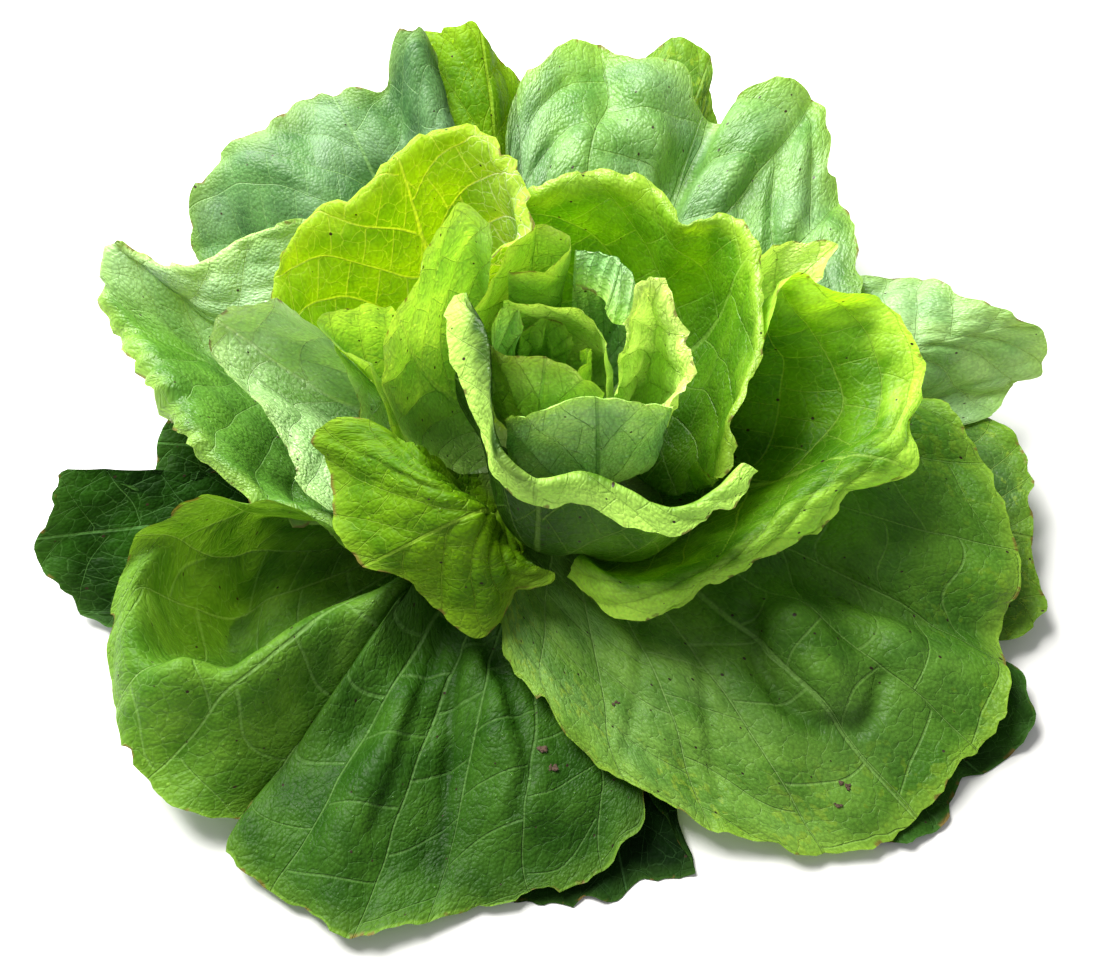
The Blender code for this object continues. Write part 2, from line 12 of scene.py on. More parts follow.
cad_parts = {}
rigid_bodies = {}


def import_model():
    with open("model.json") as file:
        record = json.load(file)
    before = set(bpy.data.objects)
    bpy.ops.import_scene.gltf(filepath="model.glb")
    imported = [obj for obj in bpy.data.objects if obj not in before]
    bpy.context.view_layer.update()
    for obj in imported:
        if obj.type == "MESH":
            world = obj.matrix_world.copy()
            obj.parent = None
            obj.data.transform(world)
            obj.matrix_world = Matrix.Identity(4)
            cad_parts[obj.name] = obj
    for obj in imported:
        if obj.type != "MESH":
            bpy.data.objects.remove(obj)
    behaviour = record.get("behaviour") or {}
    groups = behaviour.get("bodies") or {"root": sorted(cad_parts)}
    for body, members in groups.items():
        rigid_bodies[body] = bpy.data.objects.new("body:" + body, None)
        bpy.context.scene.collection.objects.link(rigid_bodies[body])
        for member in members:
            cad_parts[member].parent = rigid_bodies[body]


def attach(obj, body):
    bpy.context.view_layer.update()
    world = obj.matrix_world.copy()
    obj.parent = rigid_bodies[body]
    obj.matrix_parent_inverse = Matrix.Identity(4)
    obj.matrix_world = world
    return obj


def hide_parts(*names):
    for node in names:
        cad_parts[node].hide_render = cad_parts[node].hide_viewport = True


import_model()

bl_info = {
    "name": "Butterhead Lettuce",
    "version": (1, 0, 0),
    "blender": (4, 5, 0),
    "location": "View3D > Sidebar > Lettuce",
    "description": "Grows a butterhead lettuce leaf by leaf, with its stem, stage and camera",
    "category": "Add Mesh",
}

MM = 0.001

# The stem is a short cone with its cut face down.
STEM_RADIUS = 14.0
STEM_TOP_RADIUS = 6.0
STEM_HEIGHT = 38.0
CUT_BEVEL = 1.2

# A blade's thickness, the extra of its rib where it joins the stem, and the air kept between neighbours.
BLADE = 0.8
RIB = 1.4
RIB_SHARE = 0.16
RIB_TAPER = 1.5
RIB_REACH = 40.0
CLEARANCE = 1.3
SEAT_GAP = 0.5

# Each leaf clasps this much of the stem, and sits this far above the last one on its side.
CLASP = 48.0
CLASP_SPARE = 4.0
LOWEST_SEAT = 3.5
SEAT_STEP = 3.5
GROUND_GAP = 0.1

# Size of one cell of a leaf's grid, and how many there are from its base to its edge and along its edge.
CELL = 14.0
FINER_CELL = 10.0
FEWEST_CELLS = (5, 6)
MOST_CELLS = (8, 19)

# Rows of a leaf's grid that are drawn: base, waist and rim, or base, waist, fold and rim.
PLAIN_KNOTS = (0.0, 0.5, 1.0)
FOLDED_KNOTS = (0.0, 0.42, 0.8, 1.0)

# The leaves fan out round this point on the axis. Bending clear turns them about it.
FAN_HEIGHT = 4.0
BEND_ROUNDS = 26
BEND_SHARE = 0.55
DEGREE_SPAN = 60.0

# What still nearly touches after the bending is eased apart, square to the blades.
EASE_ROUNDS = 14
EASE_ROOM = 1.6
EASE_SHARE = 0.4


def leaf(name, azimuth, belly, rim, fold=None, forms=(), cell=CELL):
    """One leaf: the side of the stem it grows on, how far its middle bows outwards and its edge's points.

    azimuth is in degrees from +X. belly holds one or more distances along the leaf's width. rim runs
    anticlockwise seen from above, and so does fold, a crease where the leaf turns over before its edge.
    forms are its ridges and hollows: points (x, y) along each, its half width and its height. cell is the
    size of the leaf's cells.
    """
    return {
        "name": name,
        "azimuth": azimuth,
        "belly": belly,
        "rim": rim,
        "fold": fold,
        "forms": forms,
        "cell": cell,
    }


LEAVES = [
    leaf("leaf_front_under", 272, (-4,), rim=(
        (-36, -128, 2), (-7, -138, 1), (18, -138, 1), (24, -133, 2), (42, -130, 1), (36, -120, 4),
        (22, -98, 7),
    )),
    leaf("leaf_right_under", 318, (-4,), rim=(
        (70, -118, 3), (100, -121, 1), (117, -111, 1), (119, -105, 3), (133, -97, 1), (142, -88, 4),
        (143, -76, 7), (134, -62, 9), (118, -55, 9),
    )),
    leaf("leaf_right_low", 345, (-4,), rim=(
        (112, -62, 8), (138, -60, 4), (147, -56, 5), (150, -40, 8), (151, -16, 15), (148, 5, 20),
        (139, 14, 22), (118, 18, 20),
    )),
    leaf("leaf_left_low", 160, (-2,), rim=(
        (-76, 40, 20), (-105, 28, 28), (-119, 14, 26), (-123, 0, 20), (-124, -14, 13), (-108, -26, 9),
        (-84, -24, 10),
    )),
    leaf("leaf_far_left", 187, (2,), rim=(
        (-100, -2, 12), (-120, -14, 20), (-134, -15, 27), (-148, -13, 32), (-152, -24, 25), (-155, -38, 16),
        (-147, -46, 11), (-138, -53, 6), (-120, -50, 4), (-100, -38, 6),
    )),
    leaf("leaf_right", 14, (-4, -8, -4), rim=(
        (112, 8, 16), (138, 12, 20), (146, 22, 20), (157, 26, 26), (159, 31, 35), (153, 34, 42),
        (138, 38, 45), (122, 50, 44), (102, 55, 44), (84, 64, 40),
    )),
    leaf("leaf_rear_small", 70, (2,), rim=(
        (70, 112, 25), (56, 128, 40), (57, 142, 49), (47, 149, 54), (36, 144, 50), (22, 134, 36),
    )),
    leaf("leaf_rear", 103, (4,), rim=(
        (6, 104, 42), (-10, 130, 52), (-19, 134, 62), (-26, 138, 74), (-33, 137, 70), (-46, 138, 62),
        (-54, 120, 44),
    )),
    leaf("leaf_rear_left", 128, (2, 6, 2), rim=(
        (-26, 88, 40), (-36, 108, 52), (-38, 128, 64), (-48, 135, 71), (-54, 124, 65), (-66, 119, 60),
        (-80, 120, 58), (-92, 108, 53), (-112, 101, 46), (-119, 91, 40), (-119, 76, 29), (-104, 68, 20),
    ), cell=FINER_CELL, forms=(
        (((-45, 130), (-41, 112), (-36, 98)), 6, 6),
        (((-53, 122), (-47, 106), (-42, 94)), 5, -5),
        (((-98, 94), (-84, 90), (-74, 84)), 11, 6),
        (((-112, 80), (-94, 74)), 8, -5),
        (((-72, 112), (-64, 98)), 8, 4),
    )),
    leaf("leaf_front_left", 232, (20, 14, -4, -8, -8), rim=(
        (-57, -42, 30), (-70, -38, 46), (-90, -38, 54), (-107, -38, 46), (-122, -48, 34), (-131, -72, 20),
        (-124, -94, 14), (-111, -110, 10), (-90, -118, 9), (-83, -108, 5), (-94, -122, 8), (-84, -133, 6),
        (-57, -148, 4), (-24, -142, 4), (0, -139, 5), (27, -112, 9), (16, -88, 13), (-2, -62, 18),
    ), cell=FINER_CELL, forms=(
        (((-42, -50), (-63, -62), (-77, -72), (-88, -80), (-102, -84)), 8, 22),
        (((-112, -48), (-119, -62), (-117, -76), (-106, -86)), 9, 18),
        (((-56, -68), (-76, -84), (-94, -94), (-110, -96)), 14, 8),
        (((-100, -48), (-98, -62)), 9, -12),
        (((-58, -88), (-72, -100), (-80, -108)), 7, -6),
        (((-22, -70), (-13, -94), (-8, -116)), 9, 6),
        (((-42, -86), (-56, -110), (-64, -126)), 8, 6),
        (((-30, -84), (-30, -108), (-34, -132)), 6, -3),
    )),
    leaf("leaf_front_right", 305, (-8, -10, -8), rim=(
        (-10, -46, 26), (-15, -66, 28), (0, -91, 21), (20, -108, 16), (40, -118, 11), (60, -124, 8),
        (78, -126, 6), (94, -122, 6), (110, -111, 8), (126, -97, 11), (136, -78, 15), (134, -58, 20),
        (140, -50, 24), (136, -23, 30), (122, 6, 36), (100, 20, 32),
    ), cell=FINER_CELL, forms=(
        (((66, -60), (75, -72), (83, -84)), 9, 7),
        (((66, -44), (90, -52), (135, -60)), 7, -5),
        (((94, -64), (108, -74)), 7, 4),
        (((32, -74), (38, -92)), 9, 3),
        (((54, -80), (66, -104)), 8, 3),
    )),
    leaf("leaf_rear_right", 62, (0, 4, 0), rim=(
        (100, 42, 36), (101, 61, 40), (98, 77, 42), (93, 100, 46), (88, 122, 55), (78, 124, 57),
        (62, 120, 57), (54, 118, 51), (48, 128, 55), (24, 137, 60), (4, 138, 61), (-8, 126, 58),
        (-15, 106, 50), (-12, 86, 34),
    ), cell=FINER_CELL, forms=(
        (((38, 86), (46, 100), (56, 118)), 6, -6),
        (((12, 96), (14, 106)), 9, 7),
        (((58, 86), (66, 95)), 7, 6),
        (((72, 106), (84, 98)), 8, 5),
        (((76, 76), (88, 72)), 7, 5),
        (((34, 110), (32, 124)), 8, 4),
    )),
    leaf("leaf_rear_right_inner", 30, (8,), rim=(
        (64, 12, 56), (74, 20, 68), (85, 35, 80), (74, 38, 80), (62, 34, 78), (54, 36, 66),
    )),
    leaf("leaf_left_wrapper", 172, (14, 12, 14), rim=(
        (-66, 66, 48), (-80, 64, 58), (-100, 58, 54), (-122, 51, 52), (-142, 57, 56), (-143, 42, 47),
        (-133, 34, 46), (-127, 18, 49), (-112, -7, 47), (-90, -25, 41), (-62, -36, 40),
    ), forms=(
        (((-112, 40), (-99, 27), (-88, 5), (-78, -12)), 10, -11),
    )),
    leaf("leaf_right_wrapper", 335, (14, 14, 8, 6), rim=(
        (5, -53, 34), (17, -63, 37), (31, -69, 40), (45, -65, 43), (59, -56, 47), (75, -45, 50),
        (88, -37, 53), (106, -25, 57), (104, -14, 62), (108, -4, 68), (102, 12, 77), (90, 17, 80),
        (80, 18, 82), (71, 21, 87), (64, 6, 82), (58, -4, 74),
    ), fold=(
        (8, -50, 42), (20, -61, 46), (36, -61, 49), (54, -53, 53), (67, -44, 56), (75, -37, 58),
        (88, -30, 60), (96, -21, 62), (100, -12, 63), (97, -4, 62), (88, 9, 68), (76, 13, 70),
        (68, 14, 71), (61, 16, 74), (55, 4, 70), (50, -3, 62),
    )),
    leaf("leaf_rear_right_wrapper", 45, (18, 16, 14), rim=(
        (42, -26, 56), (48, -36, 60), (52, -26, 73), (59, -4, 82), (61, 12, 86), (56, 32, 91), (46, 38, 93),
        (35, 37, 90), (26, 48, 94), (9, 51, 95), (-10, 49, 87),
    )),
    leaf("leaf_rear_left_bright", 135, (12, 14, 10), rim=(
        (-20, 27, 80), (-12, 30, 84), (-9, 41, 90), (-14, 55, 95), (-27, 66, 98), (-38, 64, 96),
        (-60, 48, 85), (-76, 43, 78), (-84, 30, 67), (-78, 18, 54),
    )),
    leaf("leaf_left_flap", 192, (10, 10, 6), rim=(
        (-54, -16, 58), (-54, -10, 68), (-62, 2, 75), (-76, 14, 76), (-97, 19, 68), (-104, 12, 60),
        (-93, 4, 56), (-80, -14, 47), (-68, -34, 38),
    )),
    leaf("leaf_front_left_flap", 236, (8, 8, 6), rim=(
        (-42, -19, 64), (-58, -17, 63), (-70, -20, 57), (-64, -30, 52), (-60, -43, 46), (-50, -54, 42),
        (-40, -59, 39), (-31, -63, 36), (-24, -71, 33), (-18, -69, 33), (-15, -61, 37), (-5, -59, 41),
        (2, -56, 43),
    ), fold=(
        (-37, -28, 70), (-36, -39, 69), (-30, -45, 67), (-23, -51, 62), (-18, -56, 54), (-7, -53, 45),
    )),
    leaf("leaf_left_inner", 168, (10,), rim=(
        (-46, -20, 60), (-48, -11, 70), (-52, -4, 77), (-62, 2, 77), (-68, 10, 77), (-60, 13, 80),
        (-46, 12, 82),
    )),
    leaf("leaf_left_twist", 165, (8, 10, 8), rim=(
        (-18, 27, 91), (-22, 33, 99), (-31, 26, 96), (-38, 14, 92), (-42, 4, 86), (-49, -6, 76),
        (-48, -16, 68), (-39, -28, 54),
    )),
    leaf("leaf_front_wrapper", 268, (14, 18, 25, 22), rim=(
        (-27, 2, 97), (-31, -1, 95), (-29, -11, 91), (-24, -22, 86), (-19, -35, 80), (-14, -46, 76),
        (-5, -52, 75), (8, -52, 76), (17, -54, 76), (26, -59, 73), (36, -60, 73), (46, -57, 75),
        (56, -46, 82),
    ), fold=(
        (-22, -1, 100), (-17, -9, 101), (-15, -18, 98), (-16, -29, 94), (-13, -40, 89), (-10, -48, 84),
        (-1, -49, 82), (9, -47, 81), (17, -49, 80), (26, -54, 78), (34, -55, 78), (42, -52, 79),
        (51, -45, 83),
    )),
    leaf("leaf_heart_rear_pale", 55, (6,), rim=(
        (25, 4, 86), (20, 3, 82), (16, 5, 84), (14, 10, 86), (7, 14, 86),
    ), fold=(
        (28, 6, 88), (23, 12, 95), (15, 18, 97), (7, 20, 95),
    )),
    leaf("leaf_heart_rear_cone", 125, (6, 7, 10, 10, 8), rim=(
        (-12, 10, 96), (-1, 9, 98), (6, 13, 99), (7, 18, 102), (1, 24, 104), (-6, 22, 103), (-12, 15, 99),
        (-21, 4, 94), (-27, 0, 86),
    )),
    leaf("leaf_heart_front_cup", 280, (14, 18, 14), rim=(
        (-12, -30, 84), (-5, -32, 91), (6, -30, 96), (18, -31, 95), (30, -30, 92), (33, -26, 84),
    )),
    leaf("leaf_heart_right", 350, (8, 10, 6), rim=(
        (27, -27, 84), (35, -24, 88), (38, -14, 95), (33, -4, 100), (26, 4, 106), (22, -4, 98),
        (20, -11, 92), (18, -22, 84),
    )),
    leaf("leaf_heart_right_edge", 58, (8, 8, 8), rim=(
        (16, -22, 84), (15, -9, 90), (10, 0, 92), (-1, 3, 92), (-13, 6, 90),
    )),
    leaf("leaf_heart_front_inner", 255, (6, 8, 6), rim=(
        (-18, -11, 91), (-12, -17, 95), (0, -21, 98), (9, -26, 97), (15, -27, 93),
    )),
    leaf("leaf_heart_left", 190, (4,), rim=(
        (-7, -3, 92), (-11, 0, 96), (-16, -1, 94), (-17, -8, 88), (-12, -12, 84),
    )),
    leaf("leaf_core_rear", 140, (1,), rim=(
        (7, 1, 76), (3, 5, 81), (-3, 6, 82), (-8, 3, 78),
    )),
    leaf("leaf_core_right", 330, (1,), rim=(
        (4, -12, 76), (9, -12, 81), (12, -8, 85), (9, -4, 80),
    )),
]

# Pairs whose order is turned round where the spiral of leaves closes: the first stands outside the second.
OUTSIDE_INSTEAD = (("leaf_front_wrapper", "leaf_rear_right_wrapper"),)


def spline(points, knots, at):
    """Points on a smooth curve through points, which may be rows of a surface, at the parameters in at."""
    points = np.asarray(points, float)
    slopes = np.gradient(points, knots, axis=0)
    index = np.clip(np.searchsorted(knots, at, side="right") - 1, 0, len(knots) - 2)
    span = np.diff(knots)[index]
    t = (at - knots[index]) / span
    shape = (-1,) + (1,) * (points.ndim - 1)
    t, span = t.reshape(shape), span.reshape(shape)
    start, end = points[index], points[index + 1]
    bend_in, bend_out = slopes[index] * span, slopes[index + 1] * span
    return (
        (2 * t**3 - 3 * t**2 + 1) * start
        + (t**3 - 2 * t**2 + t) * bend_in
        + (3 * t**2 - 2 * t**3) * end
        + (t**3 - t**2) * bend_out
    )


def along(points, count):
    """count points evenly along a smooth curve through points."""
    points = np.asarray(points, float)
    steps = np.linalg.norm(np.diff(points, axis=0), axis=1)
    knots = np.concatenate([[0], np.cumsum(steps)]) / steps.sum()
    return spline(points, knots, np.linspace(0, 1, count))


def length_of(points):
    """Length of a line through points."""
    return float(np.linalg.norm(np.diff(np.asarray(points, float), axis=0), axis=1).sum())


def stem_radius(height):
    """Radius of the stem's side at a height."""
    return STEM_RADIUS + (STEM_TOP_RADIUS - STEM_RADIUS) * height / STEM_HEIGHT


def outwards(points):
    """Unit vectors that point away from the axis."""
    flat = np.array(points, float)
    flat[..., 2] = 0
    return flat / np.maximum(np.linalg.norm(flat, axis=-1, keepdims=True), 1e-6)


def seats():
    """Height of each leaf's foot: the leaves climb the stem in the order of the list."""
    found = {}
    for one in LEAVES:
        below = [LOWEST_SEAT]
        for other in LEAVES:
            apart = abs((one["azimuth"] - other["azimuth"] + 180) % 360 - 180)
            if other["name"] in found and apart < CLASP + CLASP_SPARE:
                below.append(found[other["name"]] + SEAT_STEP)
        found[one["name"]] = max(below)
    return found


SEATS = seats()


def base_row(one, count):
    """The leaf's foot: an arc that clasps the stem."""
    seat = SEATS[one["name"]]
    radius = stem_radius(seat) + SEAT_GAP + BLADE / 2
    turn = np.radians(one["azimuth"] + CLASP * np.linspace(-0.5, 0.5, count))
    return np.stack([radius * np.cos(turn), radius * np.sin(turn), np.full(count, seat)], axis=1)


def waist_row(one, base, edge):
    """The row halfway up the leaf, bowed outwards by the belly."""
    chord = edge - base
    chord_way = chord / np.linalg.norm(chord, axis=1, keepdims=True)
    way = outwards(base + edge) - np.array([0, 0, 1.0])
    way -= (way * chord_way).sum(axis=1, keepdims=True) * chord_way
    way /= np.linalg.norm(way, axis=1, keepdims=True)
    belly = one["belly"]
    bow = np.interp(np.linspace(0, 1, len(base)), np.linspace(0, 1, len(belly)), belly)
    return base + chord / 2 + way * bow[:, None]


def cells_of(one):
    """How many cells the leaf's grid has from base to edge and along its edge."""
    rim = np.asarray(one["rim"], float)
    reach = np.linalg.norm(rim - base_row(one, 3)[1], axis=1).max()
    cell = one["cell"]
    asked = round(reach / cell), round(length_of(rim) / cell)
    most = [round(most * CELL / cell) for most in MOST_CELLS]
    return tuple(int(np.clip(a, low, high)) for a, low, high in zip(asked, FEWEST_CELLS, most))


def from_line(places, points):
    """Distance of each place, in plan, from the line through points."""
    nearest = np.full(places.shape[:-1], np.inf)
    for start, end in zip(points[:-1], points[1:]):
        start, way = np.array(start, float), np.subtract(end, start)
        share = np.clip(((places - start) @ way) / (way @ way), 0, 1)
        nearest = np.minimum(nearest, np.linalg.norm(places - start - share[..., None] * way, axis=-1))
    return nearest


def swollen(one, grid):
    """The grid lifted along the leaf's ridges and sunk in its hollows, but for its foot."""
    for points, width, height in one["forms"]:
        grid[1:, :, 2] += height * np.exp(-((from_line(grid[1:, :, :2], points) / width) ** 2))
    return grid


def surface(one):
    """The leaf's middle surface as a grid of points: rows from its base to its edge."""
    up, across = cells_of(one)
    base, rim = base_row(one, across + 1), along(one["rim"], across + 1)
    if one["fold"] is None:
        rows, knots = [base, waist_row(one, base, rim), rim], np.array(PLAIN_KNOTS)
    else:
        fold = along(one["fold"], across + 1)
        rows, knots = [base, waist_row(one, base, fold), fold, rim], np.array(FOLDED_KNOTS)
    return swollen(one, spline(rows, knots, np.linspace(0, 1, up + 1)))


def to_fan(points):
    """Points as (x, y, turn) on the opened fan: distance from its centre, laid flat, and angle from level."""
    from_centre = points - np.array([0, 0, FAN_HEIGHT])
    reach = np.linalg.norm(from_centre, axis=-1)
    flat = outwards(points) * reach[..., None]
    flat[..., 2] = np.degrees(np.arcsin(from_centre[..., 2] / reach))
    return flat


def from_fan(flat):
    """The inverse of to_fan."""
    reach = np.linalg.norm(flat[..., :2], axis=-1, keepdims=True)
    turn = np.radians(flat[..., 2:])
    points = np.concatenate([flat[..., :2] * np.cos(turn), reach * np.sin(turn)], axis=-1)
    return points + np.array([0, 0, FAN_HEIGHT])


def grid_faces(rows, columns):
    """Quads of a grid of points, as indices."""
    index = np.arange(rows * columns).reshape(rows, columns)
    corners = index[:-1, :-1], index[1:, :-1], index[1:, 1:], index[:-1, 1:]
    return np.stack([c.ravel() for c in corners], axis=1)


def triangles(rows, columns):
    """The quads of a grid, each cut in two the same way."""
    quads = grid_faces(rows, columns)
    return np.concatenate([quads[:, [0, 1, 2]], quads[:, [0, 2, 3]]])


def fan_tree(flat):
    """A search tree of a grid of points."""
    rows, columns = flat.shape[:2]
    return BVHTree.FromPolygons(flat.reshape(-1, 3).tolist(), triangles(rows, columns).tolist())


def is_outside(first, second, order):
    """Whether leaf first stands outside, and so below, leaf second on the fan."""
    if (first, second) in OUTSIDE_INSTEAD:
        return True
    return (second, first) not in OUTSIDE_INSTEAD and order[first] < order[second]


def spread(push):
    """A grid of pushes smoothed, and nowhere less than they were."""
    padded = np.pad(push, ((1, 1), (1, 1), (0, 0)), mode="edge")
    rows, columns = push.shape[:2]
    smooth = sum(padded[i : i + rows, j : j + columns] for i in range(3) for j in range(3)) / 9
    stronger = np.linalg.norm(push, axis=-1) > np.linalg.norm(smooth, axis=-1)
    return np.where(stronger[..., None], push, smooth)


def room_at(reach):
    """How far apart the middles of two blades have to be, this far from the stem's foot."""
    return BLADE + CLEARANCE + RIB * math.exp(-reach / RIB_REACH)


def push_from(flat, tree, below):
    """How many degrees each point of a leaf has to turn to clear the leaf in tree, below it or above it."""
    push = np.zeros(flat.shape[:2])
    start, way = (-DEGREE_SPAN * 2, 1.0) if below else (DEGREE_SPAN * 3, -1.0)
    for index in np.ndindex(push.shape):
        x, y, turn = flat[index]
        hit = tree.ray_cast(Vector((x, y, start)), Vector((0, 0, way)))[0]
        if hit is None:
            continue
        reach = math.hypot(x, y)
        room = math.degrees(room_at(reach) / reach)
        short = (turn - (hit.z - room)) if below else ((hit.z + room) - turn)
        if short > 0:
            push[index] = -short if below else short
    return push


def bend_clear(flats):
    """Turns the leaves about the fan's centre, bit by bit, until each clears its neighbours and the table."""
    names = list(flats)
    order = {name: place for place, name in enumerate(names)}
    for _ in range(BEND_ROUNDS):
        trees = {name: fan_tree(flat) for name, flat in flats.items()}
        low = {name: flat.min(axis=(0, 1)) for name, flat in flats.items()}
        high = {name: flat.max(axis=(0, 1)) for name, flat in flats.items()}
        for name, flat in flats.items():
            down, up = np.zeros(flat.shape[:2]), np.zeros(flat.shape[:2])
            for other in names:
                apart = (low[name] > high[other])[:2] | (low[other] > high[name])[:2]
                if other == name or apart.any():
                    continue
                if is_outside(name, other, order):
                    down = np.minimum(down, push_from(flat, trees[other], True))
                else:
                    up = np.maximum(up, push_from(flat, trees[other], False))
            push = spread((down + up)[..., None])[..., 0] * BEND_SHARE
            flat[1:, :, 2] += push[1:]
            keep_off_table(flat)


def ease_from(grid, tree, side):
    """How far each point of a leaf has to move to leave room between it and the leaf in tree.

    side is 1 for a leaf that belongs on the side of the heart, and -1 for one that belongs outside.
    """
    push = np.zeros(grid.shape)
    for index in np.ndindex(grid.shape[:2]):
        point = Vector(grid[index])
        near, normal, _, distance = tree.find_nearest(point, EASE_ROOM)
        if near is not None:
            away = (point - near).dot(normal) * side
            push[index] = normal * side * (EASE_ROOM - math.copysign(distance, away))
    return push


def ease_apart(grids):
    """Moves the leaves square to their blades, bit by bit, until each has room from its neighbours."""
    names = list(grids)
    order = {name: place for place, name in enumerate(names)}
    for _ in range(EASE_ROUNDS):
        trees = {name: fan_tree(grid) for name, grid in grids.items()}
        low = {name: grid.min(axis=(0, 1)) for name, grid in grids.items()}
        high = {name: grid.max(axis=(0, 1)) for name, grid in grids.items()}
        for name, grid in grids.items():
            push = np.zeros(grid.shape)
            for other in names:
                apart = (low[name] > high[other] + CLEARANCE) | (low[other] > high[name] + CLEARANCE)
                if other != name and not apart.any():
                    push += ease_from(grid, trees[other], -1 if is_outside(name, other, order) else 1)
            grid[1:] += spread(push)[1:] * EASE_SHARE
            grid[..., 2] = np.maximum(grid[..., 2], GROUND_GAP + BLADE / 2)
            keep_off_stem(grid)


def keep_off_stem(grid):
    """Moves out any point that lies too near the stem's side."""
    reach = np.hypot(grid[..., 0], grid[..., 1])
    least = stem_radius(grid[..., 2]) + SEAT_GAP + BLADE / 2
    least[grid[..., 2] > STEM_HEIGHT + STEM_TOP_RADIUS] = 0
    grid[..., :2] *= np.maximum(least / reach, 1)[..., None]


def keep_off_table(flat):
    """Turns up any point that lies lower than the table allows."""
    reach = np.linalg.norm(flat[..., :2], axis=-1)
    lowest = GROUND_GAP + BLADE / 2 - FAN_HEIGHT
    flat[..., 2] = np.maximum(flat[..., 2], np.degrees(np.arcsin(np.clip(lowest / reach, -1, 1))))


def normals_of(grid):
    """Unit normals of a grid of points, on the side that faces the heart."""
    across = np.gradient(grid, axis=1)
    up = np.gradient(grid, axis=0)
    normal = np.cross(up, across)
    return normal / np.maximum(np.linalg.norm(normal, axis=-1, keepdims=True), 1e-9)


# Detail of the finer leaves: sizes in millimetres. MAP_UNIT is the length that a map shows as 1.
FINE_CELL = 1.6
FINE_ROWS = (26, 90)
FINE_COLUMNS = (40, 250)
NOISE_SPAN = 64
PER_METRE = 1000
MAP_UNIT = 100.0
SWELL_SIZE = 30
LUMP_SIZE = 13
LUMP_SHARE = 0.4
RUFFLE_SIZES = (17, 8)
SMALL_RUFFLE = 0.4
RIB_LINE_DEPTH = 0.5
RIB_LINE_WIDTH = 1.6
CURL_WAVE = (24, 0.3)
FRAY_WAVES = ((16, 1.4), (6.5, 0.9), (3.2, 0.7))
BITE_SIZE = 8
BITE_DEPTH = 7
BITE_START = 0.55
FRAY_REACH = 10
CREASE_SPAN = 3
SIDE_VEIN_SPACING = 17.0
SIDE_VEIN_LEAN = 0.45
SIDE_VEIN_BEND = 0.2
CROSS_VEIN_SPACING = 12.0
RUFFLE_REACH = 12.0
ROOM_LIMIT = 12.0
ROOM_KEPT = 0.5
LEAST_PUSH = 0.25
LOWEST_BLADE = 0.3
FOOT_REACH = 10.0
LEAST_CURL = 0.5
STEM_TURNS = 72
CRUMB_GRAINS = 7

# Colours that several finishes share, in linear colour.
BLOOM_COLOUR = (0.30, 0.46, 0.30)
FLECK_COLOUR = (0.30, 0.44, 0.04)
# Painted highlights: water beads made paler and bluish-white.
BEAD_GLINT_TINT = (1.5, 1.35, 1.8)
# Painted shade: the colour that creases, places near other leaves and the lower blade are multiplied by.
HOLLOW_SHADE_TINT = (0.22, 0.36, 0.22)
DRIED_COLOUR = (0.17, 0.10, 0.03)

# Camera and stage, in metres.
CAMERA_PLACE = (0.0, -0.28996, 0.46402)
CAMERA_TARGET = (0.0, -0.025, 0.040)
SENSOR = 36.0
FLOOR_SIZE = 4.0
FLOOR_DROP = 0.00005
KEY_PLACE = (-0.42, 0.36, 0.86)
BACK_PLACE = (-0.55, 0.85, 0.5)

# Crumbs of soil: the leaf they lie on, where, and their size in millimetres.
CRUMBS = (
    ("leaf_front_left", -2, -99, 1.5),
    ("leaf_front_left", 1, -104, 1.1),
    ("leaf_front_right", 85, -107, 1.2),
    ("leaf_front_right", 82, -113, 0.8),
    ("leaf_front_right", 19, -86, 0.7),
    ("leaf_left_wrapper", -66, -4, 0.8),
)

# What finishes share unless they say otherwise. glow colours the light that comes through, and through is its
# share. show and vein are how plain and how wide the veins are. The gap share and depth paint shade,
# darkening creases, places near other leaves and the lower blade towards its foot.
BLADE_FINISH = dict(
    glow=(1.5, 1.5, 0.3), through=1.0, tint=0.5, tint_width=9.0, show=0.8, bloom=0.0, beads=0.0,
    flecks=0.0, scorch=0.4, dirt=0.3, pebble=1.3, relief=1.0, vein=0.8, sheen=0.35, rough=0.34, foot=0.3,
    hollow_shade=0.7, depth=0.5, shaded=None,
)
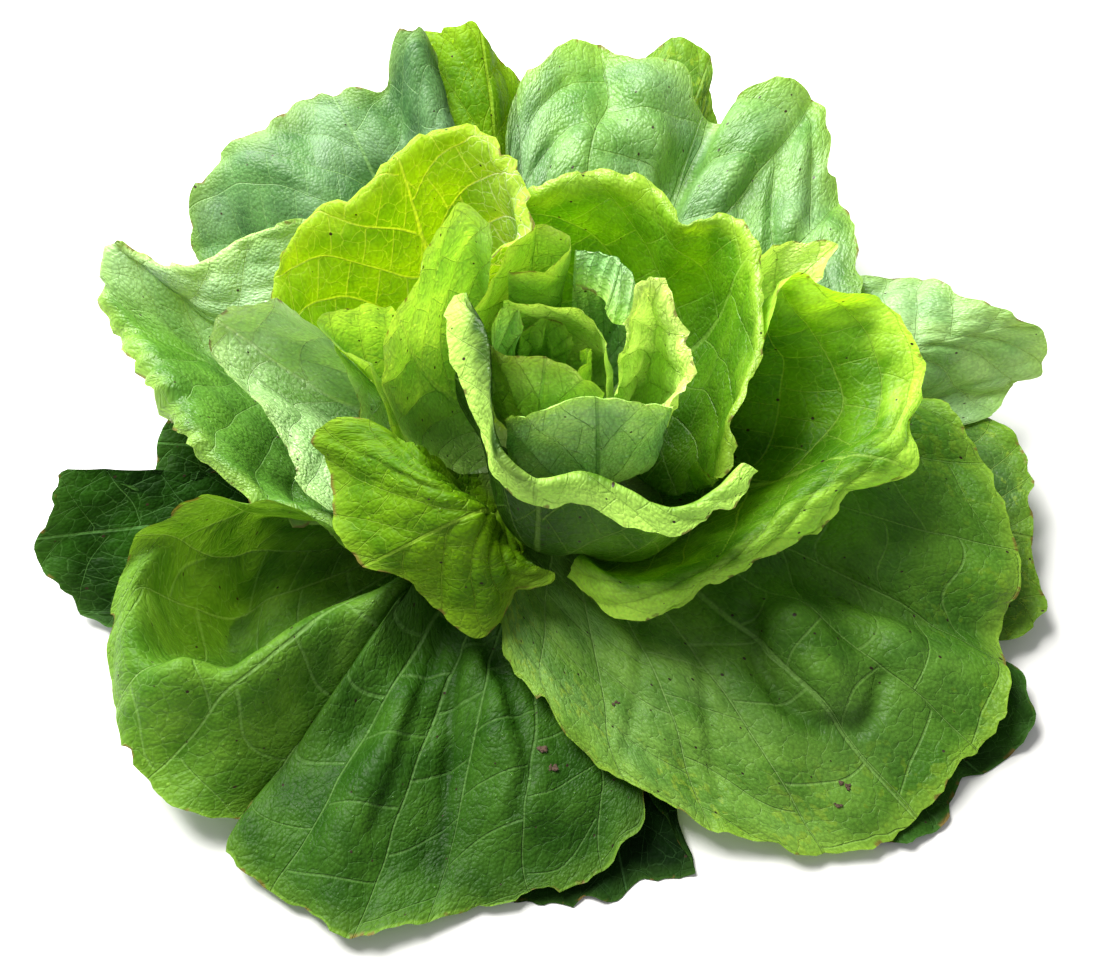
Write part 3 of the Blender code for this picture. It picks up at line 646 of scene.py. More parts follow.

# Finishes in linear colour: dark and light of the mottled blade, tint towards the rim, and veins.
# shaded (start, end, share) and shade paint shade over a span along the rim; the sunlit blade's span is made
# paler instead.
FINISHES = {
    "deep green blade": dict(
        dark=(0.006, 0.026, 0.002), light=(0.015, 0.062, 0.004), rim=(0.05, 0.14, 0.02),
        line=(0.08, 0.20, 0.05), glow=(1.3, 1.2, 0.4), through=0.4, tint=0.3, sheen=0.06, rough=0.42,
        depth=0.0,
    ),
    "shadowed blade": dict(
        dark=(0.003, 0.013, 0.002), light=(0.008, 0.032, 0.004), rim=(0.03, 0.08, 0.01),
        line=(0.04, 0.10, 0.03), glow=(1.3, 1.2, 0.4), through=0.3, tint=0.3, sheen=0.03, rough=0.5,
        depth=0.0,
    ),
    "broad green blade": dict(
        dark=(0.090, 0.230, 0.024), light=(0.180, 0.370, 0.050), rim=(0.26, 0.46, 0.04),
        line=(0.26, 0.46, 0.12), glow=(1.4, 1.3, 0.4), through=0.8, show=1.0, bloom=0.15, flecks=0.5,
        dirt=0.4, pebble=1.3, vein=0.9, sheen=0.2, shaded=(0.34, 0.56, 0.90), shade=(0.48, 0.62, 0.30),
        hollow_shade=0.3, depth=0.0,
    ),
    "mossy green blade": dict(
        dark=(0.035, 0.115, 0.007), light=(0.090, 0.215, 0.016), rim=(0.17, 0.34, 0.02),
        line=(0.22, 0.38, 0.08), glow=(1.4, 1.3, 0.4), through=0.8, show=0.9, bloom=0.15, flecks=0.4,
        dirt=0.4, pebble=1.2, vein=0.9, sheen=0.2, depth=0.0,
    ),
    # Painted shade: the lower lobe, which lies in shade, is darkened by shaded and shade.
    "lobe shaded blade": dict(
        dark=(0.065, 0.180, 0.012), light=(0.140, 0.300, 0.028), rim=(0.20, 0.38, 0.04),
        line=(0.22, 0.40, 0.10), glow=(1.4, 1.3, 0.4), through=0.8, tint=0.2, show=0.9, dirt=0.4,
        pebble=1.4, vein=1.0, sheen=0.12, beads=0.35, shaded=(0.24, 0.58, 0.90),
        shade=(0.22, 0.36, 0.28), depth=0.0,
    ),
    "grey green blade": dict(
        dark=(0.085, 0.230, 0.040), light=(0.18, 0.37, 0.09), rim=(0.26, 0.46, 0.06),
        line=(0.26, 0.45, 0.14), through=0.8, show=0.6, bloom=0.6, pebble=1.5, sheen=0.6, rough=0.34,
        depth=0.0,
    ),
    "blue green blade": dict(
        dark=(0.035, 0.110, 0.028), light=(0.080, 0.200, 0.055), rim=(0.20, 0.36, 0.06),
        line=(0.18, 0.34, 0.12), through=0.3, show=0.9, bloom=0.5, pebble=1.4, relief=0.4, sheen=0.4,
        rough=0.40, depth=0.0,
    ),
    "frosted blade": dict(
        dark=(0.24, 0.43, 0.17), light=(0.42, 0.63, 0.33), rim=(0.36, 0.58, 0.09),
        line=(0.42, 0.62, 0.28), through=0.4, show=0.6, bloom=0.7, pebble=1.9, relief=0.6, sheen=0.4,
        rough=0.34, beads=0.4, shaded=(0.30, 0.50, 0.95), shade=(0.20, 0.38, 0.03),
    ),
    "pleated blade": dict(
        dark=(0.15, 0.32, 0.09), light=(0.30, 0.50, 0.18), rim=(0.26, 0.46, 0.10),
        line=(0.32, 0.50, 0.20), through=0.6, relief=0.7, show=0.7, bloom=0.5, pebble=1.4, sheen=0.6,
        rough=0.34, depth=0.0,
    ),
    "sunlit blade": dict(
        dark=(0.17, 0.36, 0.006), light=(0.29, 0.50, 0.010), rim=(0.46, 0.66, 0.05),
        line=(0.50, 0.66, 0.10), glow=(1.7, 1.5, 0.1), through=1.2, show=1.6, vein=1.2, sheen=0.2,
        relief=0.8, shaded=(0.42, 0.20, 0.8), shade=(1.9, 1.45, 12.0),
    ),
    "yellow green blade": dict(
        dark=(0.060, 0.165, 0.001), light=(0.115, 0.250, 0.002), rim=(0.24, 0.42, 0.02),
        line=(0.24, 0.41, 0.03), glow=(1.5, 1.4, 0.1), through=0.6, show=0.9, sheen=0.12, rough=0.40,
        beads=0.4, scorch=0.8,
    ),
    "velvet blade": dict(
        dark=(0.32, 0.56, 0.19), light=(0.44, 0.68, 0.28), rim=(0.46, 0.68, 0.22),
        line=(0.58, 0.76, 0.40), glow=(1.3, 1.4, 0.4), through=0.5, show=0.8, pebble=2.4, vein=0.7,
        sheen=0.7, rough=0.36, beads=0.9, bloom=0.3, scorch=0.6,
    ),
    "twisted blade": dict(
        dark=(0.30, 0.54, 0.10), light=(0.46, 0.70, 0.17), rim=(0.46, 0.66, 0.14),
        line=(0.44, 0.64, 0.18), through=0.9, show=1.1, sheen=0.45, beads=0.4, dirt=0.6,
    ),
    "fresh blade": dict(
        dark=(0.085, 0.25, 0.006), light=(0.17, 0.39, 0.012), rim=(0.40, 0.62, 0.06),
        line=(0.30, 0.52, 0.08), glow=(1.5, 1.5, 0.15), tint=0.8, tint_width=12.0, show=0.9, sheen=0.5,
        rough=0.28, relief=0.7,
    ),
    "cupped blade": dict(
        dark=(0.060, 0.19, 0.004), light=(0.13, 0.32, 0.010), rim=(0.50, 0.84, 0.08),
        line=(0.28, 0.48, 0.07), glow=(1.5, 1.5, 0.15), tint=1.0, tint_width=15.0, show=1.0, sheen=0.3,
        through=1.2, relief=0.7,
    ),
    "pale blade": dict(
        dark=(0.50, 0.76, 0.13), light=(0.66, 0.88, 0.24), rim=(0.70, 0.92, 0.18),
        line=(0.46, 0.70, 0.14), glow=(1.3, 1.3, 0.7), through=0.8, show=0.8, pebble=1.8, sheen=0.6,
        rough=0.30, beads=0.6,
    ),
    "wrapper blade": dict(
        dark=(0.050, 0.15, 0.006), light=(0.10, 0.25, 0.012), rim=(0.54, 0.88, 0.14),
        line=(0.22, 0.38, 0.07), through=0.8, tint=1.0, tint_width=14.0, show=0.9, sheen=0.3, dirt=0.4,
        relief=0.8, foot=0.05, pebble=1.6, hollow_shade=0.5, shaded=(0.74, 0.42, 0.90), shade=(0.26, 0.34, 0.16),
    ),
    "heart blade": dict(
        dark=(0.24, 0.48, 0.05), light=(0.40, 0.66, 0.11), rim=(0.54, 0.74, 0.12),
        line=(0.20, 0.42, 0.06), glow=(1.4, 1.4, 0.3), through=0.4, tint=0.7, show=0.9, dirt=0.12,
        pebble=1.5, vein=0.7, sheen=0.5, foot=0.1, depth=0.8,
    ),
    "bloomed heart blade": dict(
        dark=(0.32, 0.64, 0.22), light=(0.52, 0.82, 0.35), rim=(0.52, 0.86, 0.14),
        line=(0.17, 0.38, 0.10), glow=(1.3, 1.3, 0.4), through=0.4, tint=0.7, show=1.0, dirt=0.12,
        pebble=2.0, vein=0.7, sheen=0.6, beads=0.7, foot=0.1, depth=0.8, bloom=0.5,
    ),
}

# Creases: points (x, y) along each, its half width and its depth, which is negative for a swelling.
FRONT_LEFT_CREASES = (
    (((-20, -62), (-12, -81), (-8, -95), (-6, -104), (-10, -117)), 2.6, 2.4),
    (((-33, -64), (-38, -84), (-43, -101), (-50, -121)), 2.2, 1.6),
    (((-28, -67), (-29, -88), (-30, -111), (-31, -128)), 2.0, 1.6),
)
FRONT_RIGHT_CREASES = (
    (((59, -56), (60, -73), (69, -86), (78, -92), (90, -92), (95, -86), (97, -78)), 2.6, 3.4),
    (((74, -60), (80, -76)), 9.0, -2.6),
    (((71, -40), (90, -52), (110, -58), (132, -60)), 2.2, 1.8),
    (((27, -60), (26, -80), (21, -102)), 1.9, 1.3),
    (((44, -69), (45, -91), (48, -112)), 1.9, 1.3),
)

LOOK = dict(
    slot="leaf_inner", finish="fresh blade", swell=1.5, puff=1.2, ruffle=1.0, fray=1.0, curl=(None, 0), fan=0,
    creases=(),
)
DEEP = dict(slot="leaf_outer", finish="deep green blade", swell=1.0, puff=1.0)
MOSSY = dict(DEEP, finish="mossy green blade")
HEART = dict(slot="leaf_heart", finish="heart blade", swell=1.4, puff=1.0, ruffle=0.5, fray=0.5)
BLOOMED = dict(HEART, finish="bloomed heart blade")
PALE = dict(HEART, finish="pale blade")

# How each leaf is finished. curl is the width of the strip bent round along its rim and how far it turns.
LOOKS = {
    "leaf_front_under": dict(DEEP, finish="shadowed blade"),
    "leaf_right_under": DEEP,
    "leaf_right_low": MOSSY,
    "leaf_left_low": DEEP,
    "leaf_far_left": dict(DEEP, ruffle=2.0, fray=1.6),
    "leaf_right": dict(MOSSY, finish="pleated blade", puff=1.5),
    "leaf_rear_small": MOSSY,
    "leaf_rear": dict(slot="leaf_outer", finish="yellow green blade"),
    "leaf_rear_left": dict(MOSSY, finish="blue green blade", puff=0.8),
    "leaf_front_left": dict(MOSSY, finish="lobe shaded blade", fan=26, creases=FRONT_LEFT_CREASES),
    "leaf_front_right": dict(
        MOSSY, finish="broad green blade", fan=30, puff=1.2, creases=FRONT_RIGHT_CREASES,
    ),
    "leaf_rear_right": dict(MOSSY, finish="grey green blade", puff=2.0, fan=40),
    "leaf_rear_right_inner": dict(finish="pale blade"),
    "leaf_left_wrapper": dict(
        finish="frosted blade", puff=1.2, fray=0.2, ruffle=0.3, curl=((0, 2, 4, 9, 10, 9, 7), 110),
    ),
    "leaf_right_wrapper": dict(finish="cupped blade"),
    "leaf_rear_right_wrapper": dict(finish="fresh blade", curl=((1, 3, 3, 3, 5, 6, 5), 100)),
    "leaf_rear_left_bright": dict(finish="sunlit blade", curl=((5, 9, 7, 3, 2, 2), 100)),
    "leaf_left_flap": dict(finish="velvet blade"),
    "leaf_front_left_flap": dict(finish="yellow green blade"),
    "leaf_left_inner": dict(finish="twisted blade"),
    "leaf_left_twist": dict(finish="twisted blade"),
    "leaf_front_wrapper": dict(finish="wrapper blade", puff=0.6, ruffle=0.5),
    "leaf_heart_rear_pale": BLOOMED,
    "leaf_heart_rear_cone": HEART,
    "leaf_heart_front_cup": dict(BLOOMED, curl=((1, 2, 2, 3), 80)),
    "leaf_heart_right": dict(PALE, puff=1.6, curl=((4, 4, 3, 2, 0), 80)),
    "leaf_heart_right_edge": PALE,
    "leaf_heart_front_inner": HEART,
    "leaf_heart_left": BLOOMED,
    "leaf_core_rear": HEART,
    "leaf_core_right": HEART,
}


def look_of(name):
    """How a leaf is finished."""
    return {**LOOK, **LOOKS[name]}


@functools.cache
def leaf_grids():
    """Every leaf's middle surface, bent clear of the others, as coarse grids of points in millimetres."""
    flats = {one["name"]: to_fan(surface(one)) for one in LEAVES}
    bend_clear(flats)
    grids = {name: from_fan(flat) for name, flat in flats.items()}
    ease_apart(grids)
    return grids


def soft_noise(x, y, size, seed):
    """Smooth noise from -1 to 1 with lumps of about this size in millimetres."""
    lattice = np.random.default_rng(seed).uniform(-1, 1, (NOISE_SPAN, NOISE_SPAN))
    px, py = x / size, y / size
    ix, iy = np.floor(px).astype(int), np.floor(py).astype(int)
    fx, fy = px - ix, py - iy
    fx, fy = fx * fx * (3 - 2 * fx), fy * fy * (3 - 2 * fy)

    def corner(i, j):
        return lattice[(ix + i) % NOISE_SPAN, (iy + j) % NOISE_SPAN]

    near = corner(0, 0) * (1 - fx) + corner(1, 0) * fx
    far = corner(0, 1) * (1 - fx) + corner(1, 1) * fx
    return near * (1 - fy) + far * fy


def refine(grid, rows, columns):
    """The same smooth surface with more points."""
    for count in (rows, columns):
        knots = np.linspace(0, 1, grid.shape[0])
        grid = spline(grid, knots, np.linspace(0, 1, count)).swapaxes(0, 1)
    return grid


def arc_lengths(grid, axis):
    """Distance of each point from the start of its line, along an axis of the grid."""
    steps = np.linalg.norm(np.diff(grid, axis=axis), axis=-1)
    width = [(0, 0), (0, 0)]
    width[axis] = (1, 0)
    return np.pad(np.cumsum(steps, axis=axis), width)


def leaf_frame(grid, seed):
    """How far each point of a leaf is from its foot and rim, and its place on the leaf laid out flat."""
    up = arc_lengths(grid, 0)
    across = arc_lengths(grid, 1)
    side = across - across[:, across.shape[1] // 2][:, None]
    ahead = up.mean(axis=1, keepdims=True) * np.ones_like(up)
    turned = side / (ahead + FOOT_REACH)
    return {
        "rise": np.linspace(0, 1, grid.shape[0])[:, None] * np.ones_like(up),
        "along": np.linspace(0, 1, grid.shape[1])[None, :] * np.ones_like(up),
        "to_rim": up[-1][None, :] - up,
        "rim_way": across[-1],
        "side": (ahead + FOOT_REACH) * np.sin(turned),
        "ahead": (ahead + FOOT_REACH) * np.cos(turned),
        "seed": seed,
    }


def vein_phases(frame_of, look):
    """Two numbers, whole at each side vein and at each cross vein, and the side veins' spacing."""
    seed, side, ahead, rise = frame_of["seed"], frame_of["side"], frame_of["ahead"], frame_of["rise"]
    wander = soft_noise(side, ahead, 26, seed) * 0.3 + soft_noise(side, ahead, 11, seed + 1) * 0.1
    if look["fan"]:
        rim_length = frame_of["rim_way"][-1]
        count = max(3, round(rim_length / look["fan"]))
        spacing = rim_length * (0.1 + 0.9 * rise) / count
        branch = (frame_of["along"] - 0.5) * count + wander * rise * 0.5
        cross = (rise * frame_of["to_rim"][0].mean() + 0.3 * np.abs(side)) / (CROSS_VEIN_SPACING * 1.6)
    else:
        half = np.abs(frame_of["along"] - 0.5) * 2
        count = max(4, round(frame_of["to_rim"][0].max() / SIDE_VEIN_SPACING))
        spacing = np.full(side.shape, SIDE_VEIN_SPACING)
        branch = (rise - SIDE_VEIN_LEAN * half - SIDE_VEIN_BEND * half**2) * count + 0.5 * (side > 0) + wander
        cross = (np.abs(side) + 0.4 * ahead) / CROSS_VEIN_SPACING
    cross = cross + soft_noise(side + 77, ahead, 22, seed + 2) * 0.3 + np.floor(branch) * 0.37
    return branch, cross, spacing


def from_whole(value):
    """Distance to the nearest whole number, from 0 to 0.5."""
    return np.abs(value - np.round(value))


def relief_of(frame_of, branch, cross, spacing, look, shape):
    """How far each point stands out of the smooth leaf towards the heart, in millimetres."""
    side, ahead, seed = frame_of["side"], frame_of["ahead"], frame_of["seed"]
    pillow = np.sin(math.pi * np.clip(from_whole(branch) * 1.25, 0, 0.5)) ** 0.8
    small = np.sin(math.pi * np.clip(from_whole(cross) * 1.25, 0, 0.5)) ** 0.8
    swell = soft_noise(side, ahead, SWELL_SIZE, seed + 3) * shape.swell * PER_METRE * look["swell"]
    lumps = soft_noise(side, ahead, LUMP_SIZE, seed + 4) * LUMP_SHARE
    lumps = lumps * shape.swell * PER_METRE * look["swell"]
    puff = (pillow * (0.45 + 0.55 * small) - 0.5) * shape.puff * PER_METRE * look["puff"]
    puff = puff * np.clip(spacing / SIDE_VEIN_SPACING, 0.2, 2) * np.clip(frame_of["rise"] * 2.5 - 0.6, 0, 1)
    edge = np.exp(-frame_of["to_rim"] / RUFFLE_REACH)
    rim_way = frame_of["rim_way"][None, :] + ahead * 0
    inwards = frame_of["to_rim"]
    ruffle = soft_noise(rim_way, inwards * 0.4, RUFFLE_SIZES[0], seed + 5)
    ruffle += SMALL_RUFFLE * soft_noise(rim_way, inwards * 0.3, RUFFLE_SIZES[1], seed + 6)
    ruffle = ruffle * edge * shape.ruffle * PER_METRE * look["ruffle"]
    rib = -RIB * (1 - frame_of["rise"]) ** RIB_TAPER * np.exp(-((frame_of["along"] - 0.5) / RIB_SHARE) ** 2)
    rib_line = -RIB_LINE_DEPTH * np.exp(-((side / RIB_LINE_WIDTH) ** 2)) * (1 - frame_of["rise"])
    foot = np.clip(frame_of["rise"] * 5, 0, 1)
    return (swell + lumps + puff + ruffle) * foot + rib + rib_line


def crease_of(grid, look):
    """How far each point sinks in the leaf's creases, in millimetres."""
    depth = np.zeros(grid.shape[:2])
    for points, width, deepest in look["creases"]:
        depth += deepest * np.exp(-((from_line(grid[..., :2], points) / width) ** 2))
    return depth


def room_round(name, grid):
    """How far each point of a coarse grid is from the nearest other leaf."""
    fine = refine(grid, grid.shape[0] * 2 - 1, grid.shape[1] * 2 - 1)
    room = np.full(fine.shape[:2], ROOM_LIMIT)
    low, high = fine.min(axis=(0, 1)) - ROOM_LIMIT, fine.max(axis=(0, 1)) + ROOM_LIMIT
    for other, other_grid in leaf_grids().items():
        other_low, other_high = other_grid.min(axis=(0, 1)), other_grid.max(axis=(0, 1))
        if other == name or (other_low > high).any() or (other_high < low).any():
            continue
        tree = fan_tree(other_grid)
        for index in np.ndindex(room.shape):
            distance = tree.find_nearest(Vector(fine[index]), room[index])[3]
            if distance is not None:
                room[index] = distance
    return room


def held_back(push, room):
    """A push made smaller where the next leaf is near."""
    least = np.maximum(room / 2 - ROOM_KEPT, LEAST_PUSH)
    return least * np.tanh(push / least)


def curl_rim(grid, frame_of, look):
    """The strip along the rim bent round, away from the heart."""
    reach, angle = look["curl"]
    if not reach:
        return grid
    reach = np.interp(frame_of["along"][0], np.linspace(0, 1, len(reach)), reach)
    result = grid.copy()
    to_rim = frame_of["to_rim"]
    normal = normals_of(grid)
    seed = frame_of["seed"]
    size, height = CURL_WAVE
    wave = 1 + height * soft_noise(frame_of["rim_way"], frame_of["rim_way"] * 0, size, seed + 9)
    for column in range(grid.shape[1]):
        here = reach[column] * wave[column]
        start = int(np.argmax(to_rim[:, column] <= here))
        if here < LEAST_CURL or start < 1:
            continue
        ahead = grid[start, column] - grid[start - 1, column]
        ahead /= np.linalg.norm(ahead)
        out = -normal[start, column]
        way = here - to_rim[start:, column]
        turn = math.radians(angle) * way / here
        radius = here / math.radians(angle)
        bent = radius * np.sin(turn)[:, None] * ahead + radius * (1 - np.cos(turn))[:, None] * out
        result[start:, column] = grid[start, column] + bent
    return result


def frayed_rim(grid, frame_of, look):
    """The rim moved in and out, so that its outline is uneven and finely toothed."""
    rim_way = frame_of["rim_way"]
    seed = frame_of["seed"]
    jitter = rim_way * 0
    for place, (size, height) in enumerate(FRAY_WAVES):
        jitter += height * soft_noise(rim_way, rim_way * 0, size, seed + 11 + place)
    bites = soft_noise(rim_way, rim_way * 0, BITE_SIZE, seed + 14) - BITE_START
    jitter -= BITE_DEPTH * np.clip(bites, 0, 1)
    ahead = grid[-1] - grid[-3]
    ahead /= np.maximum(np.linalg.norm(ahead, axis=1, keepdims=True), 1e-6)
    near = np.clip(1 - frame_of["to_rim"] / FRAY_REACH, 0, 1) ** 2
    return grid + near[..., None] * (jitter * look["fray"])[None, :, None] * ahead[None]


def fine_leaf(one, shape):
    """A leaf's detailed surface in millimetres and the numbers that its material reads."""
    name = one["name"]
    look = look_of(name)
    coarse = leaf_grids()[name]
    reach = np.linalg.norm(np.diff(coarse, axis=0), axis=-1).sum(axis=0).max()
    rim = np.linalg.norm(np.diff(coarse[-1], axis=0), axis=-1).sum()
    rows = int(np.clip(reach / FINE_CELL, *FINE_ROWS))
    columns = int(np.clip(rim / FINE_CELL, *FINE_COLUMNS))
    smooth = refine(coarse, rows, columns)
    frame_of = leaf_frame(smooth, len(name) * 31 + sum(map(ord, name)))
    branch, cross, spacing = vein_phases(frame_of, look)
    room = refine(room_round(name, coarse), rows, columns)
    crease = crease_of(smooth, look)
    push = held_back(relief_of(frame_of, branch, cross, spacing, look, shape) - crease, room)
    push[0] = 0
    grid = smooth + normals_of(smooth) * push[..., None]
    grid = frayed_rim(curl_rim(grid, frame_of, look), frame_of, look)
    grid[..., 2] = np.maximum(grid[..., 2], LOWEST_BLADE)
    maps = {
        "flat": (frame_of["side"] / MAP_UNIT, frame_of["ahead"] / MAP_UNIT + frame_of["seed"] % 17),
        "veins": (branch, cross),
        "blade": (frame_of["along"], frame_of["rise"]),
        "edge": (frame_of["to_rim"] / MAP_UNIT, spacing / MAP_UNIT),
        # The last map holds crease depth and room to the next leaf, from which the material paints shade.
        "shade_in_hollows": (np.clip(crease / CREASE_SPAN, 0, 1), np.clip(room / ROOM_LIMIT, 0, 1)),
    }
    return grid, maps


def sheet_mesh(name, grid, maps):
    """A mesh of one sheet of quads, with its numbers kept as UV maps."""
    rows, columns = grid.shape[:2]
    faces = grid_faces(rows, columns)
    mesh = bpy.data.meshes.new(name)
    mesh.vertices.add(rows * columns)
    mesh.vertices.foreach_set("co", (grid.reshape(-1, 3) * MM).ravel())
    mesh.loops.add(faces.size)
    mesh.loops.foreach_set("vertex_index", faces.ravel())
    mesh.polygons.add(len(faces))
    mesh.polygons.foreach_set("loop_start", np.arange(0, faces.size, 4))
    mesh.update(calc_edges=True)
    for kind, (first, second) in maps.items():
        layer = mesh.uv_layers.new(name=kind)
        pairs = np.stack([first.ravel(), second.ravel()], axis=1)[faces.ravel()]
        layer.data.foreach_set("uv", pairs.ravel())
    mesh.validate()
    mesh.shade_smooth()
    return mesh


def put(name, mesh, material, slot, *nodes):
    """Puts a piece in the scene, riding on the root, with its material and what it stands for."""
    mesh.materials.append(material)
    piece = bpy.data.objects.new(name, mesh)
    bpy.context.scene.collection.objects.link(piece)
    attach(piece, "root")
    if nodes:
        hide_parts(*nodes)
    return piece


def grow(slot, context):
    """Makes every leaf of one slot."""
    look = context.scene.lettuce_leaves
    for one in LEAVES:
        name = one["name"]
        if look_of(name)["slot"] != slot:
            continue
        grid, maps = fine_leaf(one, look)
        mesh = sheet_mesh(name + "_blade", grid, maps)
        put(name + "_blade", mesh, leaf_material(look_of(name)["finish"], context), slot, name)


# Materials


def feed(tree, source, socket):
    """Links an output to an input, or sets the input to a value."""
    if isinstance(source, bpy.types.NodeSocket):
        tree.links.new(source, socket)
    else:
        socket.default_value = source


def add(tree, kind, *sources, **settings):
    """Adds a node, sets its properties and feeds its inputs in order. None leaves an input alone."""
    made = tree.nodes.new("ShaderNode" + kind)
    for name, value in settings.items():
        setattr(made, name, value)
    for place, source in enumerate(sources):
        if source is not None:
            feed(tree, source, made.inputs[place])
    return made


def worked(tree, operation, *sources):
    """A Math node's result."""
    return add(tree, "Math", *sources, operation=operation).outputs[0]


def ramp_down(tree, value, near, far):
    """A mask that is 1 up to near and falls softly to 0 at far."""
    made = add(tree, "MapRange", value, near, far, 1.0, 0.0, interpolation_type="SMOOTHSTEP")
    return made.outputs[0]


def mixed(tree, mask, first, second, blend="MIX"):
    """Two colours mixed by a mask."""
    made = tree.nodes.new("ShaderNodeMix")
    made.data_type = "RGBA"
    made.blend_type = blend
    for place, source in ((0, mask), (6, first), (7, second)):
        feed(tree, source, made.inputs[place])
    return made.outputs[2]


def map_of(tree, name):
    """The two numbers of a UV map."""
    split = add(tree, "SeparateXYZ", add(tree, "UVMap", uv_map=name).outputs[0])
    return split.outputs[0], split.outputs[1]


def flat_place(tree):
    """The place on the leaf laid out flat, as a vector."""
    across, ahead = map_of(tree, "flat")
    return add(tree, "CombineXYZ", across, ahead, 0.0).outputs[0]


def scale_for(tree, size):
    """The scale that gives a pattern on the flat leaf this size in millimetres."""
    return worked(tree, "DIVIDE", MAP_UNIT, size)


def new_group(name, inputs, outputs):
    """An empty node group with named number inputs and outputs."""
    group = bpy.data.node_groups.new(name, "ShaderNodeTree")
    for label, value in inputs.items():
        group.interface.new_socket(label, in_out="INPUT", socket_type="NodeSocketFloat").default_value = value
    for label in outputs:
        group.interface.new_socket(label, in_out="OUTPUT", socket_type="NodeSocketFloat")
    return group, group.nodes.new("NodeGroupInput"), group.nodes.new("NodeGroupOutput")


@functools.cache
def vein_group():
    """Masks and height of the midrib, side veins, cross veins and the fine net between them."""
    tree, given, result = new_group(
        "Lettuce veins",
        {"Midrib Width": 1.6, "Side Vein Width": 0.8, "Net Size": 4.5, "Net Width": 0.22},
        ("Ribs", "Net", "Height"),
    )
    branch, cross = map_of(tree, "veins")
    across, ahead = map_of(tree, "flat")
    rise = map_of(tree, "blade")[1]
    taper = worked(tree, "MULTIPLY_ADD", rise, -0.75, 1.1)
    from_mid = worked(tree, "MULTIPLY", worked(tree, "ABSOLUTE", across), MAP_UNIT)
    mid_width = worked(tree, "MULTIPLY", given.outputs["Midrib Width"], taper)
    mid = ramp_down(tree, from_mid, worked(tree, "MULTIPLY", mid_width, 0.35), mid_width)
    side_width = worked(tree, "MULTIPLY", given.outputs["Side Vein Width"], taper)
    spacing = worked(tree, "MULTIPLY", map_of(tree, "edge")[1], MAP_UNIT)
    from_side = worked(tree, "MULTIPLY", worked(tree, "PINGPONG", branch, 0.5), spacing)
    side = ramp_down(tree, from_side, worked(tree, "MULTIPLY", side_width, 0.2), side_width)
    from_cross = worked(tree, "MULTIPLY", worked(tree, "PINGPONG", cross, 0.5), CROSS_VEIN_SPACING)
    cross_width = worked(tree, "MULTIPLY", side_width, 0.75)
    crossing = ramp_down(tree, from_cross, worked(tree, "MULTIPLY", cross_width, 0.2), cross_width)
    crossing = worked(tree, "MULTIPLY", crossing, 0.65)
    place = add(tree, "CombineXYZ", across, ahead, 0.0).outputs[0]
    wander = add(tree, "TexNoise", place, None, 30.0, 0.0, noise_dimensions="2D")
    shift = add(tree, "VectorMath", wander.outputs["Color"], (0.022, 0.022, 0.0), operation="MULTIPLY")
    place = add(tree, "VectorMath", place, shift.outputs[0], operation="ADD").outputs[0]
    scale = scale_for(tree, given.outputs["Net Size"])
    cell = add(tree, "TexVoronoi", place, None, scale, feature="DISTANCE_TO_EDGE", voronoi_dimensions="2D")
    from_net = worked(tree, "MULTIPLY", cell.outputs["Distance"], given.outputs["Net Size"])
    net_width = given.outputs["Net Width"]
    net = ramp_down(tree, from_net, worked(tree, "MULTIPLY", net_width, 0.2), net_width)
    ribs = worked(tree, "MAXIMUM", mid, worked(tree, "MAXIMUM", side, crossing))
    groove = worked(tree, "MULTIPLY", ribs, -0.35)
    groove = worked(tree, "MULTIPLY_ADD", net, -0.07, groove)
    puff = worked(tree, "MINIMUM", from_net, 1.4)
    height = worked(tree, "MULTIPLY_ADD", puff, 0.11, groove)
    for label, value in (("Ribs", ribs), ("Net", net), ("Height", height)):
        feed(tree, value, result.inputs[label])
    return tree


@functools.cache
def skin_group():
    """The fine pebbly skin of a leaf: its height, a slow mottle of light and dark, and a grain with painted
    shade between its pebbles.
    """
    tree, given, result = new_group("Leaf skin", {"Pebble Size": 1.1, "Mottle Size": 16.0},
                                    ("Height", "Mottle", "Grain", "Bloom", "Shade"))
    place = flat_place(tree)
    scale = scale_for(tree, given.outputs["Pebble Size"])
    pebble = add(tree, "TexVoronoi", place, None, scale, voronoi_dimensions="2D")
    pebble_height = worked(tree, "MULTIPLY_ADD", pebble.outputs["Distance"], -0.13, 0.1)
    scale = scale_for(tree, given.outputs["Mottle Size"])
    slow = add(tree, "TexNoise", place, None, scale, 3.0, noise_dimensions="2D")
    grain = add(tree, "TexNoise", place, None, 100.0, 1.0, noise_dimensions="2D")
    height = worked(tree, "MULTIPLY_ADD", grain.outputs["Fac"], 0.1, pebble_height)
    mottle = add(tree, "MapRange", slow.outputs["Fac"], 0.34, 0.66, 0.0, 1.0).outputs[0]
    broad = add(tree, "TexNoise", place, None, 3.6, 1.0, noise_dimensions="2D").outputs["Fac"]
    bloom = add(tree, "MapRange", broad, 0.42, 0.66, 0.0, 1.0).outputs[0]
    # Painted shade: darker in the low places between the pebbles, paler on their tops.
    pits = worked(tree, "MULTIPLY_ADD", pebble.outputs["Distance"], -0.30, 0.15)
    shade = worked(tree, "ADD", worked(tree, "MULTIPLY_ADD", grain.outputs["Fac"], 0.24, 0.88), pits)
    feed(tree, grain.outputs["Fac"], result.inputs["Grain"])
    for label, value in (("Height", height), ("Mottle", mottle), ("Bloom", bloom), ("Shade", shade)):
        feed(tree, value, result.inputs[label])
    return tree


